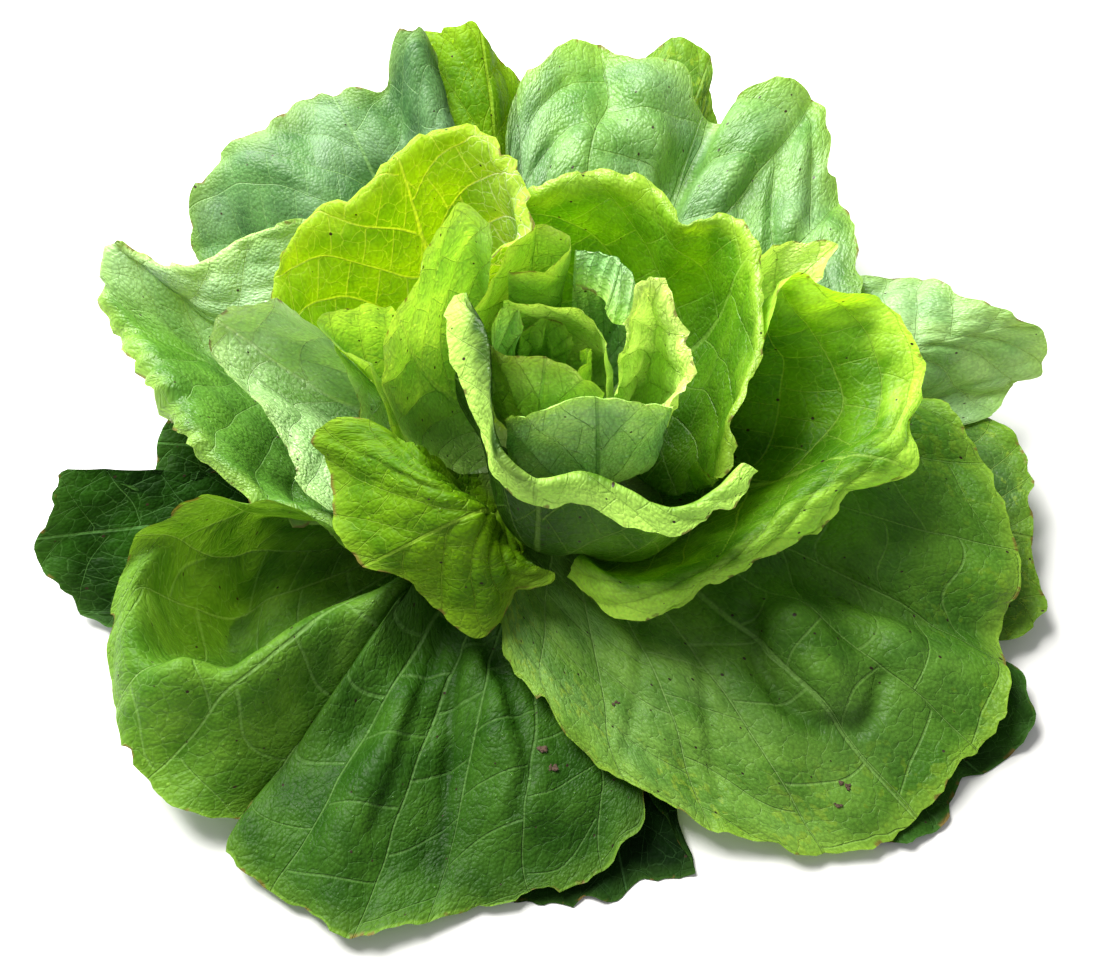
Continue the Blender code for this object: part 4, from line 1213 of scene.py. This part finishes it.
@functools.cache
def speck_group():
    """Scattered small dark specks of dirt."""
    tree, given, result = new_group("Dirt specks", {"Spacing": 9.0, "Size": 0.5, "Share": 0.3}, ("Specks",))
    place = flat_place(tree)
    scale = scale_for(tree, given.outputs["Spacing"])
    cell = add(tree, "TexVoronoi", place, None, scale, voronoi_dimensions="2D")
    away = worked(tree, "MULTIPLY", cell.outputs["Distance"], given.outputs["Spacing"])
    chance = add(tree, "SeparateXYZ", cell.outputs["Color"])
    kept = worked(tree, "LESS_THAN", chance.outputs[0], given.outputs["Share"])
    size = worked(tree, "MULTIPLY_ADD", chance.outputs[1], 0.8, 0.4)
    size = worked(tree, "MULTIPLY", given.outputs["Size"], size)
    dot = ramp_down(tree, away, worked(tree, "MULTIPLY", size, 0.6), size)
    feed(tree, worked(tree, "MULTIPLY", dot, kept), result.inputs["Specks"])
    return tree


@functools.cache
def bead_group():
    """Small beads of water in loose patches: where they lie and their domed height."""
    inputs = {"Spacing": 2.4, "Size": 0.6, "Share": 0.3}
    tree, given, result = new_group("Water beads", inputs, ("Beads", "Height"))
    place = flat_place(tree)
    scale = scale_for(tree, given.outputs["Spacing"])
    cell = add(tree, "TexVoronoi", place, None, scale, voronoi_dimensions="2D")
    away = worked(tree, "MULTIPLY", cell.outputs["Distance"], given.outputs["Spacing"])
    chance = add(tree, "SeparateXYZ", cell.outputs["Color"])
    patch = add(tree, "TexNoise", place, None, 7.0, 0.0, noise_dimensions="2D").outputs["Fac"]
    patch = add(tree, "MapRange", patch, 0.42, 0.62, 0.15, 1.0).outputs[0]
    likely = worked(tree, "MULTIPLY", patch, given.outputs["Share"])
    kept = worked(tree, "LESS_THAN", chance.outputs[0], likely)
    size = worked(tree, "MULTIPLY_ADD", chance.outputs[1], 0.8, 0.3)
    size = worked(tree, "MULTIPLY", given.outputs["Size"], size)
    share = worked(tree, "DIVIDE", away, size)
    dome = worked(tree, "MAXIMUM", worked(tree, "SUBTRACT", 1.0, worked(tree, "MULTIPLY", share, share)), 0.0)
    height = worked(tree, "MULTIPLY", worked(tree, "SQRT", dome), worked(tree, "MULTIPLY", size, kept))
    bead = worked(tree, "MULTIPLY", ramp_down(tree, share, 0.75, 1.0), kept)
    feed(tree, bead, result.inputs["Beads"])
    feed(tree, worked(tree, "MULTIPLY", height, 0.45), result.inputs["Height"])
    return tree


@functools.cache
def fleck_group():
    """Irregular yellow flecks that gather near the rim."""
    tree, given, result = new_group("Yellow flecks", {"Size": 3.2, "Reach": 38.0}, ("Flecks",))
    place = flat_place(tree)
    scale = scale_for(tree, given.outputs["Size"])
    fine = add(tree, "TexNoise", place, None, scale, 3.0, noise_dimensions="2D").outputs["Fac"]
    broad = add(tree, "TexNoise", place, None, 4.5, 1.0, noise_dimensions="2D").outputs["Fac"]
    both = worked(tree, "MULTIPLY_ADD", broad, 0.5, fine)
    fleck = ramp_down(tree, both, 0.93, 0.86)
    to_rim = worked(tree, "MULTIPLY", map_of(tree, "edge")[0], MAP_UNIT)
    near = ramp_down(tree, to_rim, 4.0, given.outputs["Reach"])
    feed(tree, worked(tree, "MULTIPLY", fleck, near), result.inputs["Flecks"])
    return tree


@functools.cache
def edge_group():
    """Masks for a leaf's rim, the tint that fades in from it, its foot, dried spots, and painted shade in
    creases, near other leaves and low towards the foot.
    """
    tree, given, result = new_group(
        "Leaf edge",
        {"Rim Width": 1.2, "Tint Width": 9.0, "Foot": 0.35, "Scorch": 0.4, "Depth": 0.0},
        ("Rim", "Tint", "Foot", "Dried", "Shade In Hollows"),
    )
    to_rim = worked(tree, "MULTIPLY", map_of(tree, "edge")[0], MAP_UNIT)
    rise = map_of(tree, "blade")[1]
    place = flat_place(tree)
    uneven = add(tree, "TexNoise", place, None, 11.0, 1.0, noise_dimensions="2D").outputs["Fac"]
    reach = worked(tree, "MULTIPLY_ADD", uneven, 1.4, 0.3)
    wide = worked(tree, "MULTIPLY", reach, given.outputs["Rim Width"])
    rim = ramp_down(tree, to_rim, worked(tree, "MULTIPLY", wide, 0.4), wide)
    tint = ramp_down(tree, to_rim, 0.0, worked(tree, "MULTIPLY", reach, given.outputs["Tint Width"]))
    foot = ramp_down(tree, rise, 0.02, given.outputs["Foot"])
    patchy = add(tree, "TexNoise", place, None, 19.0, 2.0, noise_dimensions="2D").outputs["Fac"]
    least = worked(tree, "MULTIPLY_ADD", given.outputs["Scorch"], -0.16, 0.66)
    dried = add(tree, "MapRange", patchy, least, worked(tree, "ADD", least, 0.06), 0.0, 1.0).outputs[0]
    dried = worked(tree, "MULTIPLY", dried, ramp_down(tree, to_rim, 0.3, 1.5))
    crease, room = map_of(tree, "shade_in_hollows")
    # Painted shade: darker in creases, where another leaf is near, and, by Depth, low towards the foot.
    shade_in_hollows = worked(tree, "MULTIPLY_ADD", ramp_down(tree, room, 0.05, 0.7), 0.55, crease)
    shade_in_hollows = worked(tree, "MULTIPLY_ADD", ramp_down(tree, rise, 0.35, 0.75), given.outputs["Depth"], shade_in_hollows)
    for label, value in (("Rim", rim), ("Tint", tint), ("Foot", foot), ("Dried", dried), ("Shade In Hollows", shade_in_hollows)):
        feed(tree, value, result.inputs[label])
    return tree


def group_node(tree, group, **values):
    """Places a group in a material with its own values."""
    made = tree.nodes.new("ShaderNodeGroup")
    made.node_tree = group
    for name, value in values.items():
        made.inputs[name.replace("_", " ").title()].default_value = value
    return made


def blank_material(name):
    """An empty node material and its output."""
    material = bpy.data.materials.new(name)
    material.use_nodes = True
    tree = material.node_tree
    tree.nodes.clear()
    return material, tree, tree.nodes.new("ShaderNodeOutputMaterial")


def bumped_shader(tree, colour, rough, height, lift):
    """A Principled shader and its bump, which stands out by lift metres where the height is 1."""
    bump = tree.nodes.new("ShaderNodeBump")
    bump.inputs["Distance"].default_value = lift
    feed(tree, height, bump.inputs["Height"])
    shader = tree.nodes.new("ShaderNodeBsdfPrincipled")
    feed(tree, colour, shader.inputs["Base Color"])
    feed(tree, rough, shader.inputs["Roughness"])
    feed(tree, bump.outputs[0], shader.inputs["Normal"])
    return shader, bump


def leaf_colour(tree, values, colours, groups):
    """The blade's colour: mottled green, bloom, tint, veins, painted shade, pale foot, rim, painted
    highlights on water beads, flecks, dried edge and dirt.
    """
    veins, skin, specks, edge, beads, flecks = groups

    def over(below, mask, strength, colour, blend="MIX"):
        return mixed(tree, worked(tree, "MULTIPLY", mask, strength), below, (*colour[:3], 1), blend)

    colour = mixed(tree, skin.outputs["Mottle"], (*values["dark"], 1), (*values["light"], 1))
    colour = over(colour, skin.outputs["Bloom"], values["bloom"] * 0.45, BLOOM_COLOUR)
    colour = over(colour, flecks.outputs["Flecks"], values["flecks"], FLECK_COLOUR)
    colour = over(colour, veins.outputs["Net"], 0.3 * values["show"], values["line"])
    colour = over(colour, veins.outputs["Ribs"], 0.6 * values["show"], values["line"])
    # Painted shade: one span along the rim is darkened; for the sunlit blade it is made paler.
    if values["shaded"]:
        start, end, share = values["shaded"]
        along = map_of(tree, "blade")[0]
        colour = over(colour, ramp_down(tree, along, end, start), share, values["shade"], "MULTIPLY")
    colour = over(colour, edge.outputs["Tint"], values["tint"], values["rim"])
    colour = over(colour, veins.outputs["Ribs"], 0.25 * values["show"], values["line"])
    # Painted shade in creases, near other leaves and low towards the foot.
    colour = over(colour, edge.outputs["Shade In Hollows"], values["hollow_shade"], HOLLOW_SHADE_TINT, "MULTIPLY")
    # Grain of tone, with painted shade between the pebbles.
    colour = mixed(tree, 1.0, colour, skin.outputs["Shade"], "MULTIPLY")
    colour = over(colour, edge.outputs["Foot"], 0.5, colours.foot_colour)
    colour = over(colour, edge.outputs["Rim"], 0.45, values["rim"])
    if beads:
        # Painted highlights: water beads made paler and bluish-white.
        colour = over(colour, beads.outputs["Beads"], 0.8, BEAD_GLINT_TINT, "MULTIPLY")
    colour = over(colour, edge.outputs["Dried"], 0.8, DRIED_COLOUR)
    return over(colour, specks.outputs["Specks"], 1.0, colours.dirt_colour)


def leaf_material(finish, context):
    """The material of a leaf: a green blade with paler veins, lit from both sides."""
    made_before = bpy.data.materials.get(finish)
    if made_before:
        return made_before
    values = {**BLADE_FINISH, **FINISHES[finish]}
    colours = context.scene.lettuce_leaves
    material, tree, output = blank_material(finish)
    veins = group_node(tree, vein_group(), side_vein_width=values["vein"])
    skin = group_node(tree, skin_group())
    specks = group_node(tree, speck_group(), share=values["dirt"])
    edge_values = {name: values[name] for name in ("tint_width", "foot", "scorch", "depth")}
    edge = group_node(tree, edge_group(), **edge_values)
    beads = group_node(tree, bead_group(), share=values["beads"]) if values["beads"] else None
    flecks = group_node(tree, fleck_group())
    colour = leaf_colour(tree, values, colours, (veins, skin, specks, edge, beads, flecks))
    height = worked(tree, "MULTIPLY", veins.outputs["Height"], values["relief"])
    height = worked(tree, "MULTIPLY_ADD", skin.outputs["Height"], values["pebble"], height)
    rough = worked(tree, "MULTIPLY_ADD", skin.outputs["Grain"], 0.2, values["rough"])
    if beads:
        height = worked(tree, "ADD", height, beads.outputs["Height"])
        rough = worked(tree, "MULTIPLY_ADD", beads.outputs["Beads"], -0.3, rough)
    shader, bump = bumped_shader(tree, colour, rough, height, MM)
    shader.inputs["Specular IOR Level"].default_value = values["sheen"]
    through = tree.nodes.new("ShaderNodeBsdfTranslucent")
    glow = mixed(tree, 1.0, colour, (*values["glow"], 1), "MULTIPLY")
    feed(tree, glow, through.inputs["Color"])
    feed(tree, bump.outputs[0], through.inputs["Normal"])
    both = tree.nodes.new("ShaderNodeMixShader")
    both.inputs[0].default_value = min(colours.see_through * values["through"], 1.0)
    feed(tree, shader.outputs[0], both.inputs[1])
    feed(tree, through.outputs[0], both.inputs[2])
    feed(tree, both.outputs[0], output.inputs["Surface"])
    return material


def stem_material(context):
    """Pale moist stem tissue, browned in a ring and speckled on the cut face."""
    colours = context.scene.lettuce_leaves
    material, tree, output = blank_material("cut stem")
    place = add(tree, "TexCoord").outputs["Object"]
    split = add(tree, "SeparateXYZ", place)
    turned = add(tree, "CombineXYZ", split.outputs[0], split.outputs[1], 0.0).outputs[0]
    from_axis = add(tree, "VectorMath", turned, operation="LENGTH").outputs["Value"]
    noise = add(tree, "TexNoise", place, None, 260.0, 4.0).outputs["Fac"]
    drawn = add(tree, "VectorMath", place, (1.0, 1.0, 0.08), operation="MULTIPLY").outputs[0]
    fibre = add(tree, "TexNoise", drawn, None, 900.0, 3.0).outputs["Fac"]
    low = ramp_down(tree, split.outputs[2], 0.0004, 0.0026)
    ring = add(tree, "MapRange", from_axis, 0.006, 0.0125, 0.15, 1.0, interpolation_type="SMOOTHSTEP")
    brown = worked(tree, "MULTIPLY", low, ring.outputs[0])
    brown = worked(tree, "MULTIPLY", brown, worked(tree, "MULTIPLY_ADD", noise, 1.2, 0.2))
    flesh = mixed(tree, fibre, tuple(colours.foot_colour), tuple(colours.stem_colour))
    colour = mixed(tree, brown, flesh, tuple(colours.cut_colour))
    rough = worked(tree, "MULTIPLY_ADD", noise, 0.25, 0.35)
    shader = bumped_shader(tree, colour, rough, fibre, MM * 0.6)[0]
    feed(tree, shader.outputs[0], output.inputs["Surface"])
    return material


def crumb_material(context):
    """Dry crumbly soil."""
    material, tree, output = blank_material("dry soil")
    place = add(tree, "TexCoord").outputs["Object"]
    noise = add(tree, "TexNoise", place, None, 900.0, 4.0).outputs["Fac"]
    colour = mixed(tree, noise, tuple(context.scene.lettuce_leaves.dirt_colour), (0.10, 0.060, 0.035, 1))
    shader = bumped_shader(tree, colour, 0.9, noise, MM * 0.5)[0]
    feed(tree, shader.outputs[0], output.inputs["Surface"])
    return material


def floor_material():
    """Plain pale floor with a faint unevenness."""
    material, tree, output = blank_material("pale floor")
    noise = add(tree, "TexNoise", add(tree, "TexCoord").outputs["Object"], None, 3.0, 2.0).outputs["Fac"]
    shader = tree.nodes.new("ShaderNodeBsdfPrincipled")
    feed(tree, mixed(tree, noise, (0.82, 0.82, 0.81, 1), (0.86, 0.86, 0.85, 1)), shader.inputs["Base Color"])
    shader.inputs["Roughness"].default_value = 0.8
    feed(tree, shader.outputs[0], output.inputs["Surface"])
    return material


# Stem, crumbs and stage


def stem_mesh():
    """A turned stem with fine ridges, its cut face slightly dished."""
    heights = np.linspace(CUT_BEVEL, STEM_HEIGHT, 34)
    profile = [(STEM_RADIUS * share, 0.15 * (1 - share)) for share in np.linspace(0.02, 0.9, 12)]
    shares = np.linspace(0.2, 1, 5)
    profile += [(STEM_RADIUS - CUT_BEVEL * (1 - share), CUT_BEVEL * share**2) for share in shares]
    profile += [(stem_radius(height), height) for height in heights]
    profile += [(STEM_TOP_RADIUS * math.cos(t), STEM_HEIGHT + STEM_TOP_RADIUS * 0.8 * math.sin(t))
                for t in np.linspace(0.15, 1.5, 9)]
    profile = np.array(profile)
    turn = np.linspace(0, 2 * math.pi, STEM_TURNS, endpoint=False)
    radius = profile[:, :1] * np.ones((1, STEM_TURNS))
    ridge = 0.25 * np.cos(turn * 9 + profile[:, 1:] * 0.11) + 0.15 * np.cos(turn * 23 - profile[:, 1:] * 0.2)
    radius = radius + np.where(profile[:, 1:] > CUT_BEVEL, ridge, 0)
    height = profile[:, 1:] * np.ones((1, STEM_TURNS))
    points = np.stack([radius * np.cos(turn), radius * np.sin(turn), height], -1)
    mesh = bpy.data.meshes.new("stem_flesh")
    rows = len(profile)
    index = np.arange(rows * STEM_TURNS).reshape(rows, STEM_TURNS)
    around = np.roll(index, -1, axis=1)
    faces = np.stack([index[:-1], around[:-1], around[1:], index[1:]], -1).reshape(-1, 4).tolist()
    faces += [index[0][::-1].tolist(), index[-1].tolist()]
    mesh.from_pydata((points.reshape(-1, 3) * MM).tolist(), [], faces)
    mesh.validate()
    mesh.shade_smooth()
    return mesh


def crumb_mesh(name, centre, size, seed):
    """A smear of soil: a few rough flat grains that lie together."""
    shape = bmesh.new()
    chance = np.random.default_rng(seed)
    for grain in range(CRUMB_GRAINS):
        turn, away = chance.uniform(0, 2 * math.pi), chance.uniform(0, 1.3) * size
        place = Vector(centre) + Vector((away * math.cos(turn), away * math.sin(turn), 0))
        made = bmesh.ops.create_icosphere(shape, subdivisions=2, radius=size * chance.uniform(0.25, 0.6))
        for point in made["verts"]:
            push = noise.noise(point.co * 1.9 / size + Vector((seed, grain, 0)))
            point.co *= 1 + 0.9 * push
            point.co.z *= 0.4
            point.co += place
    mesh = bpy.data.meshes.new(name)
    shape.to_mesh(mesh)
    shape.free()
    mesh.transform(Matrix.Scale(MM, 4))
    mesh.shade_smooth()
    return mesh


def on_leaf(name, x, y):
    """The highest point of a leaf above a place on the table, in millimetres."""
    piece = bpy.data.objects[name + "_blade"]
    hit, point, _, _ = piece.ray_cast(Vector((x * MM, y * MM, 0.3)), Vector((0, 0, -1)))
    if not hit:
        raise RuntimeError("no leaf under the crumb at " + str((x, y)))
    return point / MM


def aim(place, target):
    """The turn that points a camera or light from a place to a target."""
    return (Vector(target) - Vector(place)).to_track_quat("-Z", "Y").to_euler()


def area_light(name, place, target, size, power, colour):
    """A soft square light."""
    data = bpy.data.lights.new(name, "AREA")
    data.size = size
    data.energy = power
    data.color = colour
    made = bpy.data.objects.new(name, data)
    made.location = place
    made.rotation_euler = aim(place, target)
    bpy.context.scene.collection.objects.link(made)


# Settings a user would change


class LettuceLeafSettings(bpy.types.PropertyGroup):
    swell: FloatProperty(
        name="Swell", description="How far the blades swell and sink between their ribs", default=0.0013,
        min=0.0, max=0.004, subtype="DISTANCE", unit="LENGTH",
    )
    puff: FloatProperty(
        name="Blisters", description="How far the blade puffs up between its veins", default=0.0012,
        min=0.0, max=0.004, subtype="DISTANCE", unit="LENGTH",
    )
    ruffle: FloatProperty(
        name="Ruffle", description="How far the rims wave up and down", default=0.0022,
        min=0.0, max=0.006, subtype="DISTANCE", unit="LENGTH",
    )
    see_through: FloatProperty(
        name="See-through", description="Share of the light that passes through a leaf", default=0.36,
        min=0.0, max=1.0, subtype="FACTOR",
    )
    foot_colour: FloatVectorProperty(
        name="Foot", description="Pale tissue near the stem", default=(0.62, 0.68, 0.36, 1.0),
        min=0.0, max=1.0, size=4, subtype="COLOR",
    )
    stem_colour: FloatVectorProperty(
        name="Stem", description="Flesh of the stem", default=(0.50, 0.60, 0.24, 1.0),
        min=0.0, max=1.0, size=4, subtype="COLOR",
    )
    cut_colour: FloatVectorProperty(
        name="Cut face", description="Browned tissue round the cut", default=(0.22, 0.10, 0.035, 1.0),
        min=0.0, max=1.0, size=4, subtype="COLOR",
    )
    dirt_colour: FloatVectorProperty(
        name="Dirt", description="Specks and crumbs of soil", default=(0.035, 0.022, 0.014, 1.0),
        min=0.0, max=1.0, size=4, subtype="COLOR",
    )


class LettuceStageSettings(bpy.types.PropertyGroup):
    sky: FloatProperty(
        name="Sky", description="Strength of the light from all round", default=0.38,
        min=0.0, max=5.0,
    )
    key: FloatProperty(
        name="Key light", description="Power of the large light above, behind on the left", default=28.0,
        min=0.0, max=500.0, subtype="POWER", unit="POWER",
    )
    back: FloatProperty(
        name="Back light", description="Power of the low light behind on the left", default=7.0,
        min=0.0, max=500.0, subtype="POWER", unit="POWER",
    )
    lens: FloatProperty(
        name="Lens", description="Focal length of the camera", default=55.0, min=20.0, max=200.0,
        subtype="DISTANCE_CAMERA", unit="CAMERA",
    )


# Operators


class LETTUCE_OT_outer_leaves(bpy.types.Operator):
    """Make the dark, spread outer leaves"""

    bl_idname = "lettuce.outer_leaves"
    bl_label = "Outer Leaves"

    def execute(self, context):
        grow("leaf_outer", context)
        return {"FINISHED"}


class LETTUCE_OT_inner_leaves(bpy.types.Operator):
    """Make the bright leaves that stand round the heart"""

    bl_idname = "lettuce.inner_leaves"
    bl_label = "Inner Leaves"

    def execute(self, context):
        grow("leaf_inner", context)
        return {"FINISHED"}


class LETTUCE_OT_heart_leaves(bpy.types.Operator):
    """Make the small pale leaves of the heart"""

    bl_idname = "lettuce.heart_leaves"
    bl_label = "Heart Leaves"

    def execute(self, context):
        grow("leaf_heart", context)
        return {"FINISHED"}


class LETTUCE_OT_stem(bpy.types.Operator):
    """Make the stem with its browned cut face"""

    bl_idname = "lettuce.stem"
    bl_label = "Stem"

    def execute(self, context):
        put("stem_flesh", stem_mesh(), stem_material(context), "stem", "stem")
        return {"FINISHED"}


class LETTUCE_OT_soil_crumbs(bpy.types.Operator):
    """Scatter the few crumbs of soil that lie on the outer leaves"""

    bl_idname = "lettuce.soil_crumbs"
    bl_label = "Soil Crumbs"

    def execute(self, context):
        soil = crumb_material(context)
        for place, (leaf_name, x, y, size) in enumerate(CRUMBS):
            centre = on_leaf(leaf_name, x, y) + Vector((0, 0, size * 0.2))
            name = f"soil_crumb_{place + 1}"
            put(name, crumb_mesh(name, centre, size, place + 3), soil, "leaf_outer")
        return {"FINISHED"}


class LETTUCE_OT_stage(bpy.types.Operator):
    """Make the floor, the lights and the camera"""

    bl_idname = "lettuce.stage"
    bl_label = "Stage"

    def execute(self, context):
        settings = context.scene.lettuce_stage
        mesh = bpy.data.meshes.new("floor")
        half = FLOOR_SIZE / 2
        corners = [(-half, -half, 0), (half, -half, 0), (half, half, 0), (-half, half, 0)]
        mesh.from_pydata(corners, [], [(0, 1, 2, 3)])
        mesh.materials.append(floor_material())
        floor = bpy.data.objects.new("floor", mesh)
        floor.location.z = -FLOOR_DROP
        context.scene.collection.objects.link(floor)
        world = bpy.data.worlds.new("soft sky")
        world.use_nodes = True
        background = world.node_tree.nodes["Background"]
        background.inputs["Color"].default_value = (1.0, 1.0, 1.0, 1)
        background.inputs["Strength"].default_value = settings.sky
        context.scene.world = world
        area_light("key", KEY_PLACE, (0, 0, 0.04), 0.6, settings.key, (1.0, 0.985, 0.95))
        area_light("back light", BACK_PLACE, (0, 0, 0.05), 0.7, settings.back, (0.96, 0.98, 1.0))
        data = bpy.data.cameras.new("camera")
        data.lens = settings.lens
        data.sensor_width = SENSOR
        data.clip_start = 0.01
        camera = bpy.data.objects.new("camera", data)
        camera.location = CAMERA_PLACE
        camera.rotation_euler = aim(CAMERA_PLACE, CAMERA_TARGET)
        context.scene.collection.objects.link(camera)
        context.scene.camera = camera
        context.scene.view_settings.view_transform = "Standard"
        return {"FINISHED"}


class LETTUCE_PT_panel(bpy.types.Panel):
    """Lists the pieces of the lettuce and their settings"""

    bl_idname = "LETTUCE_PT_panel"
    bl_label = "Butterhead Lettuce"
    bl_space_type = "VIEW_3D"
    bl_region_type = "UI"
    bl_category = "Lettuce"

    def draw(self, context):
        for settings in (context.scene.lettuce_leaves, context.scene.lettuce_stage):
            box = self.layout.box()
            for name in settings.__annotations__:
                box.prop(settings, name)
        for operator in OPERATORS:
            self.layout.operator(operator.bl_idname)


OPERATORS = (
    LETTUCE_OT_outer_leaves,
    LETTUCE_OT_inner_leaves,
    LETTUCE_OT_heart_leaves,
    LETTUCE_OT_stem,
    LETTUCE_OT_soil_crumbs,
    LETTUCE_OT_stage,
)
CLASSES = (LettuceLeafSettings, LettuceStageSettings, *OPERATORS, LETTUCE_PT_panel)


def register():
    for kind in CLASSES:
        bpy.utils.register_class(kind)
    bpy.types.Scene.lettuce_leaves = PointerProperty(type=LettuceLeafSettings)
    bpy.types.Scene.lettuce_stage = PointerProperty(type=LettuceStageSettings)


def unregister():
    del bpy.types.Scene.lettuce_stage
    del bpy.types.Scene.lettuce_leaves
    for kind in reversed(CLASSES):
        bpy.utils.unregister_class(kind)


def main():
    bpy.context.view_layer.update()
    register()
    bpy.ops.lettuce.outer_leaves()
    bpy.ops.lettuce.inner_leaves()
    bpy.ops.lettuce.heart_leaves()
    bpy.ops.lettuce.stem()
    bpy.ops.lettuce.soil_crumbs()
    bpy.ops.lettuce.stage()


if __name__ == "__main__":
    main()
